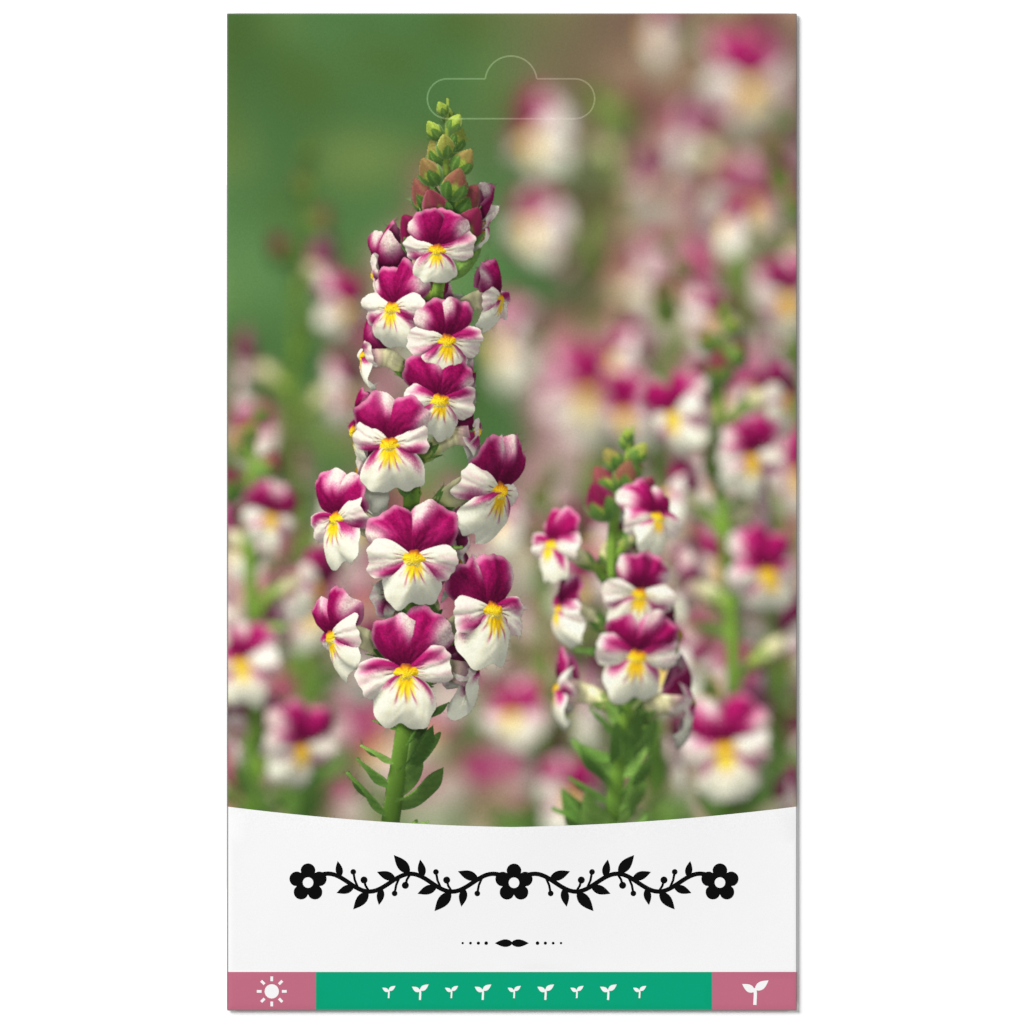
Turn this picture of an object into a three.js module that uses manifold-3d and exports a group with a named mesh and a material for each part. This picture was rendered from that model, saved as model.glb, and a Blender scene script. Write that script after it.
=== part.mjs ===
// A flat paper seed packet, lying on its back.
// One printed blank is folded round three edges of the front panel into glue flaps, and round the
// fourth into the back panel. It holds a thin glassine sachet with fine flower seeds in it.
// A euro slot is perforated through the header and still closed by its push-out tab.
//
// Millimetres. X runs across the packet, Y up its front, Z out of its front.
// The origin is under the middle of the packet, on the surface that it lies on.

import * as THREE from "three";
import { mergeVertices } from "three/addons/utils/BufferGeometryUtils.js";
import Module from "manifold-3d";

const wasm = await Module();
wasm.setup();

// Driving dimensions.
const WIDTH = 80;
const HEIGHT = 140;
const PAPER = 0.125; // thickness of the printed blank
const ADHESIVE = 0.0625; // thickness of the glue under each flap
const GLASSINE = 0.0625; // thickness of the sachet's paper
const CROWN = 1.4; // how far the contents lift the middle of the front panel

// Heights of the layers, from the surface up.
const FLAP_TOP = PAPER;
const BACK_BOTTOM = FLAP_TOP + ADHESIVE;
const BACK_TOP = BACK_BOTTOM + PAPER;
const FRONT_BOTTOM = BACK_TOP + ADHESIVE;
const FRONT_TOP = FRONT_BOTTOM + PAPER;

// The crown of the front panel leaves the header and the borders flat.
const CROWN_CENTRE_Y = -10;
const CROWN_HALF_WIDTH = 38.5;
const CROWN_HALF_HEIGHT = 56;
const CROWN_POWER = 1.5;

// Folds are half tubes. The flaps close round the back panel, so their folds are wider.
const FLAP_FOLD_RADIUS = FRONT_TOP / 2;
const BACK_FOLD_RADIUS = (FRONT_TOP - BACK_BOTTOM) / 2;
const FOLD_STEPS = 8;
const FOLD_TAIL = 0.5; // flat stretch by which a fold reaches into its panels
const CORNER_RELIEF = 1.2; // each fold stops this far short of the packet's corner

// Glue flaps and the back panel.
const TOP_FLAP_DEPTH = 22.5;
const BOTTOM_FLAP_DEPTH = 15.5;
const SIDE_FLAP_DEPTH = 12.5;
const FLAP_TAPER = 5;
const FLAP_CORNER_RADIUS = 2;
const FLAP_SPACING = 1.5; // clear paper between the ends of neighbouring flaps
const BACK_PANEL_INSET = 0.9; // the back panel's free edges inside the packet's outline
const BACK_PANEL_CORNER = 1.5;
const GLUE_WIDTH = 4;
const GLUE_FROM_EDGE = 1.5; // from a flap's free edge
const GLUE_END_GAP = 5; // from a flap's tapered ends

// Euro slot: a long hole with a round peak in the middle of its upper side.
const SLOT_LENGTH = 23.6;
const SLOT_HEIGHT = 5.6;
const SLOT_CENTRE_Y = HEIGHT / 2 - 12;
const PEAK_RADIUS = 3.65;
const PEAK_SINK = 0.35; // the peak's centre below the slot's upper side
const CUT_WIDTH = 0.25;
const NICK = 0.6; // uncut bridge that still holds the push-out tab
const BACK_CUT_MARGIN = 0.7; // the cut through the back layers is wider, so the layers need not line up

// The sachet and its contents.
const SACHET_WIDTH = 48;
const SACHET_HEIGHT = 66;
const SACHET_SEAL = 5;
const SACHET_BULGE = 1.05;
const SACHET_BACK_TOP = BACK_TOP + GLASSINE;
const SEED_RADII = [0.46, 0.36, 0.31];
const SEED_SPACING = 0.88;
const SEED_JITTER = 0.1;
const SEED_BED = [4.6, 6.4]; // half width and half height of the spread-out seeds
const SEED_CORE = 0.3; // thickness of the packed dust and chaff that binds the layer
const SEED_CLEARANCE = 0.0125; // between the seeds and the sachet's sheet

const COLOURS = {
  paper: 0xf1f1ef,
  adhesive: 0xe6dcc0,
  glassine: 0xe9e4d2,
  seed: 0x2b211b,
};

// A closed three.js geometry as a manifold solid.
function solidOf(geometry) {
  const bare = geometry.clone();
  bare.deleteAttribute("normal");
  bare.deleteAttribute("uv");
  const merged = mergeVertices(bare, 1e-5);
  return new wasm.Manifold(
    new wasm.Mesh({
      numProp: 3,
      vertProperties: new Float32Array(merged.attributes.position.array),
      triVerts: new Uint32Array(merged.index.array),
    }),
  );
}

// A manifold solid as a flat-shaded three.js geometry.
function geometryOf(solid) {
  const { vertProperties, triVerts, numProp, numVert } = solid.getMesh();
  const positions = new Float32Array(numVert * 3);
  for (let i = 0; i < numVert; i++) {
    positions.set(vertProperties.subarray(i * numProp, i * numProp + 3), i * 3);
  }
  const indexed = new THREE.BufferGeometry();
  indexed.setAttribute("position", new THREE.BufferAttribute(positions, 3));
  indexed.setIndex(new THREE.BufferAttribute(new Uint32Array(triVerts), 1));
  const flat = indexed.toNonIndexed();
  flat.computeVertexNormals();
  return flat;
}

function joined(solids) {
  return wasm.Manifold.union(solids);
}

// A flat sheet of the given outline between two heights.
function plate(shape, bottom, top) {
  const geometry = new THREE.ExtrudeGeometry(shape, {
    depth: top - bottom,
    bevelEnabled: false,
    curveSegments: 6,
  });
  return solidOf(geometry.translate(0, 0, bottom));
}

function box(x, y, width, height, bottom, top) {
  const geometry = new THREE.BoxGeometry(width, height, top - bottom);
  return solidOf(geometry.translate(x, y, (bottom + top) / 2));
}

// A polygon whose corners are rounded by the radius given for each.
function roundedShape(corners) {
  const shape = new THREE.Shape();
  corners.forEach(([x, y, radius], i) => {
    const here = new THREE.Vector2(x, y);
    const before = new THREE.Vector2(...corners.at(i - 1).slice(0, 2));
    const after = new THREE.Vector2(...corners[(i + 1) % corners.length].slice(0, 2));
    const start = before.sub(here).setLength(radius).add(here);
    const end = after.sub(here).setLength(radius).add(here);
    if (i === 0) {
      shape.moveTo(start.x, start.y);
    } else {
      shape.lineTo(start.x, start.y);
    }
    if (radius > 0) {
      shape.quadraticCurveTo(x, y, end.x, end.y);
    }
  });
  shape.closePath();
  return shape;
}

// A thin sheet over a grid of lines, whose lower side follows a height function.
function sheet(xs, ys, heightAt, thickness) {
  const columns = xs.length;
  const count = columns * ys.length;
  const positions = [];
  for (const lift of [0, thickness]) {
    for (const y of ys) {
      for (const x of xs) {
        positions.push(x, y, heightAt(x, y) + lift);
      }
    }
  }
  const index = [];
  const quad = (a, b, c, d) => index.push(a, b, c, a, c, d);
  for (let j = 0; j < ys.length - 1; j++) {
    for (let i = 0; i < columns - 1; i++) {
      const a = j * columns + i;
      const b = a + 1;
      const c = b + columns;
      const d = a + columns;
      quad(a, d, c, b);
      quad(a + count, b + count, c + count, d + count);
    }
  }
  for (let i = 0; i < columns - 1; i++) {
    const last = (ys.length - 1) * columns + i;
    quad(i, i + 1, i + 1 + count, i + count);
    quad(last + 1, last, last + count, last + 1 + count);
  }
  for (let j = 0; j < ys.length - 1; j++) {
    const left = j * columns;
    const right = left + columns - 1;
    quad(left + columns, left, left + count, left + columns + count);
    quad(right, right + columns, right + columns + count, right + count);
  }
  const geometry = new THREE.BufferGeometry();
  geometry.setAttribute("position", new THREE.Float32BufferAttribute(positions, 3));
  geometry.setIndex(index);
  return solidOf(geometry);
}

function spread(from, to, steps) {
  return Array.from({ length: steps + 1 }, (_, i) => from + ((to - from) * i) / steps);
}

// 1 in the middle of an oval field, falling smoothly to 0 at its border.
function swell(x, y, centreY, halfWidth, halfHeight, power) {
  const across = Math.max(0, 1 - (x / halfWidth) ** 2);
  const along = Math.max(0, 1 - ((y - centreY) / halfHeight) ** 2);
  return (across * along) ** power;
}

function frontHeight(x, y) {
  return FRONT_BOTTOM + CROWN * swell(x, y, CROWN_CENTRE_Y, CROWN_HALF_WIDTH, CROWN_HALF_HEIGHT, CROWN_POWER);
}

function frontPanel() {
  const left = -WIDTH / 2 + FLAP_FOLD_RADIUS;
  const right = WIDTH / 2 - BACK_FOLD_RADIUS;
  const end = HEIGHT / 2 - FLAP_FOLD_RADIUS;
  const xs = [left, ...spread(-CROWN_HALF_WIDTH, CROWN_HALF_WIDTH, 20), right];
  const low = CROWN_CENTRE_Y - CROWN_HALF_HEIGHT;
  const high = CROWN_CENTRE_Y + CROWN_HALF_HEIGHT;
  const ys = [-end, ...spread(low, high, 24), end];
  return sheet(xs, ys, frontHeight, PAPER);
}

function backPanel() {
  const left = -WIDTH / 2 + BACK_PANEL_INSET;
  const right = WIDTH / 2 - BACK_FOLD_RADIUS;
  const end = HEIGHT / 2 - BACK_PANEL_INSET;
  const outline = roundedShape([
    [left, -end, BACK_PANEL_CORNER],
    [right, -end, 0],
    [right, end, 0],
    [left, end, BACK_PANEL_CORNER],
  ]);
  return plate(outline, BACK_BOTTOM, BACK_TOP);
}

// The paper's turn at one edge, from the front panel down to what it folds into.
// Edge is the outward direction in X and Y; radius is the fold's outer radius.
function fold(edge, radius, length, offset = 0) {
  const inner = radius - PAPER;
  const middle = FRONT_TOP - radius;
  const section = new THREE.Shape();
  section.moveTo(-FOLD_TAIL, middle - radius);
  for (let i = 0; i <= FOLD_STEPS; i++) {
    const turn = -Math.PI / 2 + (Math.PI * i) / FOLD_STEPS;
    section.lineTo(radius * Math.cos(turn), middle + radius * Math.sin(turn));
  }
  section.lineTo(-FOLD_TAIL, middle + radius);
  section.lineTo(-FOLD_TAIL, middle + inner);
  for (let i = FOLD_STEPS; i >= 0; i--) {
    const turn = -Math.PI / 2 + (Math.PI * i) / FOLD_STEPS;
    section.lineTo(inner * Math.cos(turn), middle + inner * Math.sin(turn));
  }
  section.lineTo(-FOLD_TAIL, middle - inner);
  section.closePath();

  const outward = new THREE.Vector3(edge[0], edge[1], 0);
  const up = new THREE.Vector3(0, 0, 1);
  const along = new THREE.Vector3().crossVectors(outward, up);
  const halfSize = edge[0] ? WIDTH / 2 : HEIGHT / 2;
  const place = new THREE.Matrix4().makeBasis(outward, up, along);
  place.setPosition(outward.clone().multiplyScalar(halfSize - radius).add(new THREE.Vector3(0, offset, 0)));
  const geometry = new THREE.ExtrudeGeometry(section, { depth: length, bevelEnabled: false });
  return solidOf(geometry.translate(0, 0, -length / 2).applyMatrix4(place));
}

// A flap across the top or the bottom of the packet; side is 1 for the top and -1 for the bottom.
function endFlap(side, depth) {
  const root = WIDTH / 2 - CORNER_RELIEF;
  const foldLine = side * (HEIGHT / 2 - FLAP_FOLD_RADIUS);
  const freeEdge = side * (HEIGHT / 2 - depth);
  const corners = [
    [-root, foldLine, 0],
    [root, foldLine, 0],
    [root - FLAP_TAPER, freeEdge, FLAP_CORNER_RADIUS],
    [-root + FLAP_TAPER, freeEdge, FLAP_CORNER_RADIUS],
  ];
  if (side > 0) {
    corners.reverse();
  }
  return plate(roundedShape(corners), 0, FLAP_TOP);
}

// The left-hand flap runs between the two end flaps.
const SIDE_FLAP_LOW = -HEIGHT / 2 + BOTTOM_FLAP_DEPTH + FLAP_SPACING;
const SIDE_FLAP_HIGH = HEIGHT / 2 - TOP_FLAP_DEPTH - FLAP_SPACING;

function sideFlap() {
  const foldLine = -WIDTH / 2 + FLAP_FOLD_RADIUS;
  const freeEdge = -WIDTH / 2 + SIDE_FLAP_DEPTH;
  const outline = roundedShape([
    [foldLine, SIDE_FLAP_LOW, 0],
    [freeEdge, SIDE_FLAP_LOW + FLAP_TAPER, FLAP_CORNER_RADIUS],
    [freeEdge, SIDE_FLAP_HIGH - FLAP_TAPER, FLAP_CORNER_RADIUS],
    [foldLine, SIDE_FLAP_HIGH, 0],
  ]);
  return plate(outline, 0, FLAP_TOP);
}

// The slot's area, grown by a margin on every side.
function slotArea(margin, bottom, top) {
  const radius = SLOT_HEIGHT / 2 + margin;
  const reach = SLOT_LENGTH / 2 - SLOT_HEIGHT / 2;
  const long = new THREE.Shape();
  long.absarc(reach, SLOT_CENTRE_Y, radius, -Math.PI / 2, Math.PI / 2, false);
  long.absarc(-reach, SLOT_CENTRE_Y, radius, Math.PI / 2, (3 * Math.PI) / 2, false);
  const peak = new THREE.Shape();
  peak.absarc(0, SLOT_CENTRE_Y + SLOT_HEIGHT / 2 - PEAK_SINK, PEAK_RADIUS + margin, 0, 2 * Math.PI, false);
  const options = { depth: top - bottom, bevelEnabled: false, curveSegments: 12 };
  const solids = [long, peak].map((shape) =>
    solidOf(new THREE.ExtrudeGeometry(shape, options).translate(0, 0, bottom)),
  );
  return joined(solids);
}

// The perforation: a narrow cut along the slot's outline, with bridges left at its ends, peak and foot.
function perforation(margin, bottom, top) {
  const outer = slotArea(margin + CUT_WIDTH / 2, bottom, top);
  const inner = slotArea(margin - CUT_WIDTH / 2, bottom, top);
  const end = SLOT_LENGTH / 2 + margin;
  const foot = SLOT_CENTRE_Y - SLOT_HEIGHT / 2 - margin;
  const peak = SLOT_CENTRE_Y + SLOT_HEIGHT / 2 - PEAK_SINK + PEAK_RADIUS + margin;
  const places = [
    [end, SLOT_CENTRE_Y],
    [-end, SLOT_CENTRE_Y],
    [SLOT_LENGTH / 4, foot],
    [-SLOT_LENGTH / 4, foot],
    [0, peak],
  ];
  const bridges = places.map(([x, y]) => box(x, y, NICK, NICK, bottom, top));
  return outer.subtract(inner).subtract(joined(bridges));
}

function envelopeBlank() {
  const foldAlongSide = HEIGHT - 2 * CORNER_RELIEF;
  const foldAlongEnd = WIDTH - 2 * CORNER_RELIEF;
  const sideFlapMiddle = (SIDE_FLAP_LOW + SIDE_FLAP_HIGH) / 2;
  const blank = joined([
    frontPanel(),
    backPanel(),
    fold([1, 0], BACK_FOLD_RADIUS, foldAlongSide),
    fold([-1, 0], FLAP_FOLD_RADIUS, SIDE_FLAP_HIGH - SIDE_FLAP_LOW, sideFlapMiddle),
    fold([0, 1], FLAP_FOLD_RADIUS, foldAlongEnd),
    fold([0, -1], FLAP_FOLD_RADIUS, foldAlongEnd),
    sideFlap(),
    endFlap(1, TOP_FLAP_DEPTH),
    endFlap(-1, BOTTOM_FLAP_DEPTH),
  ]);
  const between = (BACK_TOP + FRONT_BOTTOM) / 2;
  return blank
    .subtract(perforation(0, between, FRONT_TOP + 1))
    .subtract(perforation(BACK_CUT_MARGIN, -1, between));
}

// Glue lies in one band along each flap's free edge, between the flap and the back panel.
function endGlue(side, depth) {
  const y = side * (HEIGHT / 2 - depth + GLUE_FROM_EDGE + GLUE_WIDTH / 2);
  const length = WIDTH - 2 * (CORNER_RELIEF + FLAP_TAPER + GLUE_END_GAP);
  return box(0, y, length, GLUE_WIDTH, FLAP_TOP, BACK_BOTTOM);
}

function sideGlue() {
  const x = -WIDTH / 2 + SIDE_FLAP_DEPTH - GLUE_FROM_EDGE - GLUE_WIDTH / 2;
  const length = SIDE_FLAP_HIGH - SIDE_FLAP_LOW - 2 * (FLAP_TAPER + GLUE_END_GAP);
  return box(x, (SIDE_FLAP_LOW + SIDE_FLAP_HIGH) / 2, GLUE_WIDTH, length, FLAP_TOP, BACK_BOTTOM);
}

// The sachet is two sheets sealed round their rims. The back one lies flat on the back panel.
function sachetBack() {
  return box(0, CROWN_CENTRE_Y, SACHET_WIDTH, SACHET_HEIGHT, BACK_TOP, SACHET_BACK_TOP);
}

function sachetFront() {
  const halfWidth = SACHET_WIDTH / 2 - SACHET_SEAL;
  const halfHeight = SACHET_HEIGHT / 2 - SACHET_SEAL;
  const xs = [-SACHET_WIDTH / 2, ...spread(-halfWidth, halfWidth, 12), SACHET_WIDTH / 2];
  const low = CROWN_CENTRE_Y - SACHET_HEIGHT / 2;
  const ys = [
    low,
    ...spread(CROWN_CENTRE_Y - halfHeight, CROWN_CENTRE_Y + halfHeight, 16),
    low + SACHET_HEIGHT,
  ];
  const heightAt = (x, y) =>
    SACHET_BACK_TOP + SACHET_BULGE * swell(x, y, CROWN_CENTRE_Y, halfWidth, halfHeight, CROWN_POWER);
  return sheet(xs, ys, heightAt, GLASSINE);
}

// A seeded generator of numbers from 0 to 1.
function makeRandom(seed) {
  let state = seed;
  return () => {
    state = (state * 1664525 + 1013904223) % 4294967296;
    return state / 4294967296;
  };
}

// Seeds lie side by side in one layer, in staggered rows, each turned its own way.
// A thin oval core of chaff, lower than the seeds, holds the layer together.
function seedBed() {
  const random = makeRandom(7);
  const [halfWidth, halfHeight] = SEED_BED;
  const rowStep = SEED_SPACING * Math.sqrt(0.75);
  const floor = SACHET_BACK_TOP + SEED_CLEARANCE;
  const outline = new THREE.Shape();
  outline.absellipse(0, CROWN_CENTRE_Y, halfWidth, halfHeight, 0, 2 * Math.PI, false, 0);
  const seeds = [plate(outline, floor, floor + SEED_CORE)];
  let row = 0;
  for (let y = -halfHeight; y <= halfHeight; y += rowStep) {
    row += 1;
    for (let x = -halfWidth; x <= halfWidth; x += SEED_SPACING) {
      const px = x + (row % 2) * (SEED_SPACING / 2) + (random() - 0.5) * SEED_JITTER;
      const py = y + (random() - 0.5) * SEED_JITTER;
      const turn = new THREE.Euler(random() * 0.7, random() * 0.7, random() * Math.PI);
      if ((px / halfWidth) ** 2 + (py / halfHeight) ** 2 > 1) {
        continue;
      }
      const seed = new THREE.OctahedronGeometry(1, 0).scale(...SEED_RADII);
      seed.applyMatrix4(new THREE.Matrix4().makeRotationFromEuler(turn));
      seed.computeBoundingBox();
      seeds.push(solidOf(seed.translate(px, CROWN_CENTRE_Y + py, floor - seed.boundingBox.min.z)));
    }
  }
  return joined(seeds);
}

function part(name, solid, color, roughness) {
  const material = new THREE.MeshStandardMaterial({ color, roughness, metalness: 0 });
  const mesh = new THREE.Mesh(geometryOf(solid), material);
  mesh.name = name;
  return mesh;
}

const packet = new THREE.Group();
packet.name = "seed_packet";
packet.add(
  part("envelope_blank", envelopeBlank(), COLOURS.paper, 0.55),
  part("top_flap_glue", endGlue(1, TOP_FLAP_DEPTH), COLOURS.adhesive, 0.4),
  part("bottom_flap_glue", endGlue(-1, BOTTOM_FLAP_DEPTH), COLOURS.adhesive, 0.4),
  part("side_flap_glue", sideGlue(), COLOURS.adhesive, 0.4),
  part("sachet_back", sachetBack(), COLOURS.glassine, 0.35),
  part("sachet_front", sachetFront(), COLOURS.glassine, 0.35),
  part("seeds", seedBed(), COLOURS.seed, 0.7),
);

export default packet;
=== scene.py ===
import math

import bpy
import numpy as np
from mathutils.geometry import delaunay_2d_cdt
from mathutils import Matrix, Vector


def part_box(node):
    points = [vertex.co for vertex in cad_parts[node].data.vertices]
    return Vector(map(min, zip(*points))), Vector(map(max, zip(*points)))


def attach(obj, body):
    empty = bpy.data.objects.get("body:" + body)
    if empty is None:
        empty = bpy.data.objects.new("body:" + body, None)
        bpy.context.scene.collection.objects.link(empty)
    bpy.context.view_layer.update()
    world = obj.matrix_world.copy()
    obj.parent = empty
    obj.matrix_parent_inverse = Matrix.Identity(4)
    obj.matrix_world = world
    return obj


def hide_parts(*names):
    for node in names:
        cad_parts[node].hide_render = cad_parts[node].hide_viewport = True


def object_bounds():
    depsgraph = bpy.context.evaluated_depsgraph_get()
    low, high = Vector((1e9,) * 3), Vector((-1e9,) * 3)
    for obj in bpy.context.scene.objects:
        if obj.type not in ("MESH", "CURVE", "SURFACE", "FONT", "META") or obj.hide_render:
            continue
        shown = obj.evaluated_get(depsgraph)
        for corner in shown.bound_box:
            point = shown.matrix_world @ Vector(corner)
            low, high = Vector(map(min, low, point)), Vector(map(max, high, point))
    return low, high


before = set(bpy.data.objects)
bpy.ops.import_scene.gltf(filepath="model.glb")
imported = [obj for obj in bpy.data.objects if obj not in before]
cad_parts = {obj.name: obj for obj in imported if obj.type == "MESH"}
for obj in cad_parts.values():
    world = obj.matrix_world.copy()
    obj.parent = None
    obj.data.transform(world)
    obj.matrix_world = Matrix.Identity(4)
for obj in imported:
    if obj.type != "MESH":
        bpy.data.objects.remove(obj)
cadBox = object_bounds()

mm = 0.001
degree = math.pi / 180
goldenTurn = 2.399   # radians from one blossom or bud to the next up a stem
displayPower = 2.2   # between light and display colours


def deselectAll():
    if bpy.context.object and bpy.context.object.mode != "OBJECT":
        bpy.ops.object.mode_set(mode="OBJECT")
    bpy.ops.object.select_all(action="DESELECT")


def linear(color):
    # display colour to light
    color = np.asarray(color, float)
    return np.where(color <= 0.04045, color / 12.92, ((color + 0.055) / 1.055) ** 2.4)


def ease(start, end, x):
    t = np.clip((x - start) / (end - start), 0, 1)
    return t * t * (3 - 2 * t)


def mixed(a, b, amount):
    amount = np.clip(amount, 0, 1)[..., None]
    return a * (1 - amount) + b * amount


def newMaterial(name):
    material = bpy.data.materials.new(name)
    material.use_nodes = True
    tree = material.node_tree
    tree.nodes.clear()
    shader = tree.nodes.new("ShaderNodeBsdfPrincipled")
    output = tree.nodes.new("ShaderNodeOutputMaterial")
    tree.links.new(shader.outputs["BSDF"], output.inputs["Surface"])
    return material, tree, shader


def noiseNode(tree, scale, detail=2.0, roughness=0.5):
    # scale is in repeats a metre, on the object's own coordinates
    coordinates = tree.nodes.new("ShaderNodeTexCoord")
    noise = tree.nodes.new("ShaderNodeTexNoise")
    noise.inputs["Scale"].default_value = scale
    noise.inputs["Detail"].default_value = detail
    noise.inputs["Roughness"].default_value = roughness
    tree.links.new(coordinates.outputs["Object"], noise.inputs["Vector"])
    return noise.outputs["Fac"]


def rangeNode(tree, value, low, high, fromLow=0.3, fromHigh=0.7):
    node = tree.nodes.new("ShaderNodeMapRange")
    node.inputs["From Min"].default_value = fromLow
    node.inputs["From Max"].default_value = fromHigh
    node.inputs["To Min"].default_value = low
    node.inputs["To Max"].default_value = high
    tree.links.new(value, node.inputs["Value"])
    return node.outputs["Result"]


def mixNode(tree, factor, a, b, blend="MIX"):
    node = tree.nodes.new("ShaderNodeMix")
    node.data_type = "RGBA"
    node.blend_type = blend
    for socket, value in ((node.inputs["Factor"], factor), (node.inputs["A"], a), (node.inputs["B"], b)):
        if isinstance(value, bpy.types.NodeSocket):
            tree.links.new(value, socket)
        elif isinstance(value, (int, float)):
            socket.default_value = value
        else:
            socket.default_value = (*value, 1)
    return node.outputs["Result"]


def bumpNode(tree, height, distance, strength, normal=None):
    node = tree.nodes.new("ShaderNodeBump")
    node.inputs["Strength"].default_value = strength
    node.inputs["Distance"].default_value = distance
    tree.links.new(height, node.inputs["Height"])
    if normal is not None:
        tree.links.new(normal, node.inputs["Normal"])
    return node.outputs["Normal"]


# Of each noise: repeats a metre, detail and roughness. Heights are in metres, with a strength.

printFinish = {
    "ink": "ink",                # colour attribute with the print
    "grain": "grain",            # 1 where the picture is printed
    "bare": (0.84, 0.83, 0.81),  # paper with no ink
    "speck": (9000, 3),          # the paper's fine grain
    "speckTones": (0.965, 1.02),
    "screen": (3600, 2, 0.6),    # and the printed picture's
    "screenTones": (0.94, 1.06, 0.25, 0.75),
    "gloss": (420, 3),
    "roughness": (0.36, 0.46),
    "specular": 0.13,
    "fibres": (5200, 4, 0.6),
    "fibreHeight": (0.00001, 0.35),
    "waves": (110, 2),
    "waveHeight": (0.00005, 0.5),
}

barePaper = {
    "tones": ((0.744, 0.7347, 0.7161), (0.80, 0.79, 0.77)),
    "patches": (3600, 5, 0.65),
    "contrast": (0.35, 0.65),
    "gloss": (900,),
    "roughness": (0.75, 0.9),
    "relief": (6000, 4, 0.6),
    "height": (0.00001, 0.5),
    "specular": 0.2,
}

cutEdge = {**barePaper, "tones": ((0.7998, 0.7905, 0.7719), (0.86, 0.85, 0.83))}

driedGlue = {
    "tones": ((0.60, 0.50, 0.30), (0.78, 0.70, 0.50)),
    "patches": (500, 3),
    "contrast": (0.3, 0.7),
    "gloss": (1500,),
    "roughness": (0.25, 0.45),
    "relief": (1200, 3),
    "height": (0.00002, 0.6),
}

glassine = {
    "tones": ((0.70, 0.65, 0.50), (0.82, 0.78, 0.65)),
    "patches": (240, 5, 0.6),
    "contrast": (0.3, 0.7),
    "gloss": (700, 3),
    "roughness": (0.22, 0.38),
    "relief": (900, 4),
    "height": (0.00002, 0.6),
    "coat": 0.2,
}

seedCoat = {
    "tones": ((0.010, 0.007, 0.005), (0.045, 0.030, 0.020)),
    "patches": (1800, 3),
    "contrast": (0.3, 0.7),
    "gloss": (4000,),
    "roughness": (0.55, 0.8),
    "pits": 9000,                # repeats a metre
    "height": (0.00004, 0.8),
}

studioFloor = {
    "tones": ((0.915, 0.915, 0.915), (0.93, 0.93, 0.93)),
    "patches": (3, 2),
    "contrast": (0.3, 0.7),
    "roughness": 0.9,
    "specular": 0.0,
}


def printedPaper(look):
    material, tree, shader = newMaterial("printed paper")
    ink = tree.nodes.new("ShaderNodeVertexColor")
    ink.layer_name = look["ink"]
    tone = rangeNode(tree, noiseNode(tree, *look["speck"]), *look["speckTones"])
    toned = mixNode(tree, 1.0, ink.outputs["Color"], tone, "MULTIPLY")
    # the picture's screen leaves a faint grain
    where = tree.nodes.new("ShaderNodeAttribute")
    where.attribute_name = look["grain"]
    dots = rangeNode(tree, noiseNode(tree, *look["screen"]), *look["screenTones"])
    screened = mixNode(tree, 1.0, toned, dots, "MULTIPLY")
    tree.links.new(mixNode(tree, where.outputs["Fac"], toned, screened), shader.inputs["Base Color"])
    gloss = rangeNode(tree, noiseNode(tree, *look["gloss"]), *look["roughness"])
    tree.links.new(gloss, shader.inputs["Roughness"])
    shader.inputs["Specular IOR Level"].default_value = look["specular"]
    fibres = bumpNode(tree, noiseNode(tree, *look["fibres"]), *look["fibreHeight"])
    waves = bumpNode(tree, noiseNode(tree, *look["waves"]), *look["waveHeight"], fibres)
    tree.links.new(waves, shader.inputs["Normal"])
    return material


def mottled(name, look):
    # two tones in soft patches, with an uneven gloss and a fine relief where the look has them
    material, tree, shader = newMaterial(name)
    patches = rangeNode(tree, noiseNode(tree, *look["patches"]), 0, 1, *look["contrast"])
    tree.links.new(mixNode(tree, patches, *look["tones"]), shader.inputs["Base Color"])
    for key, socket in (("specular", "Specular IOR Level"), ("coat", "Coat Weight")):
        if key in look:
            shader.inputs[socket].default_value = look[key]
    if "gloss" in look:
        gloss = rangeNode(tree, noiseNode(tree, *look["gloss"]), *look["roughness"])
        tree.links.new(gloss, shader.inputs["Roughness"])
    else:
        shader.inputs["Roughness"].default_value = look["roughness"]
    if "relief" in look:
        relief = noiseNode(tree, *look["relief"])
        tree.links.new(bumpNode(tree, relief, *look["height"]), shader.inputs["Normal"])
    if "pits" in look:
        pits = tree.nodes.new("ShaderNodeTexVoronoi")
        pits.inputs["Scale"].default_value = look["pits"]
        coordinates = tree.nodes.new("ShaderNodeTexCoord")
        tree.links.new(coordinates.outputs["Object"], pits.inputs["Vector"])
        relief = bumpNode(tree, pits.outputs["Distance"], *look["height"])
        tree.links.new(relief, shader.inputs["Normal"])
    return material


def clearFromBelow(material):
    # lets the view through a floor from below, so that the packet's back can be seen
    tree = material.node_tree
    output = next(node for node in tree.nodes if node.type == "OUTPUT_MATERIAL")
    solid = output.inputs["Surface"].links[0].from_socket
    clear = tree.nodes.new("ShaderNodeBsdfTransparent")
    geometry = tree.nodes.new("ShaderNodeNewGeometry")
    choose = tree.nodes.new("ShaderNodeMixShader")
    tree.links.new(geometry.outputs["Backfacing"], choose.inputs["Fac"])
    tree.links.new(solid, choose.inputs[1])
    tree.links.new(clear.outputs["BSDF"], choose.inputs[2])
    tree.links.new(choose.outputs["Shader"], output.inputs["Surface"])
    return material


def finishPiece(piece, node, slotName, *materials):
    for material in materials:
        piece.data.materials.append(material)
    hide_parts(node)
    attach(piece, "root")


studio = {
    "viewWidth": 143.7 * mm,   # what the camera sees across
    "viewLevel": 0.3,          # at this share of the packet's height
    "viewMiddle": 0.02 * mm,   # how far right of the packet's middle the camera stands
    "lens": 180.0,             # mm; long, so the packet shows flat
    "sensor": 36.0,
    "clip": (0.01, 20),        # m
    "floor": 3.0,              # m a side
    "floorGap": 0.00001,       # keeps its face apart from the packet's
    "worldStrength": 0.37,
    "suns": (
        # place, turn in degrees, width in degrees and strength
        ((-0.6, 0.5, 0.8), (0, 60.5, 138), 30, 5.08),  # low and soft, from the packet's upper left
        ((0.3, -0.2, -0.8), (162, 0, 0), 60, 2.2),     # for the back, which is seen through the floor
    ),
}


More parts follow.
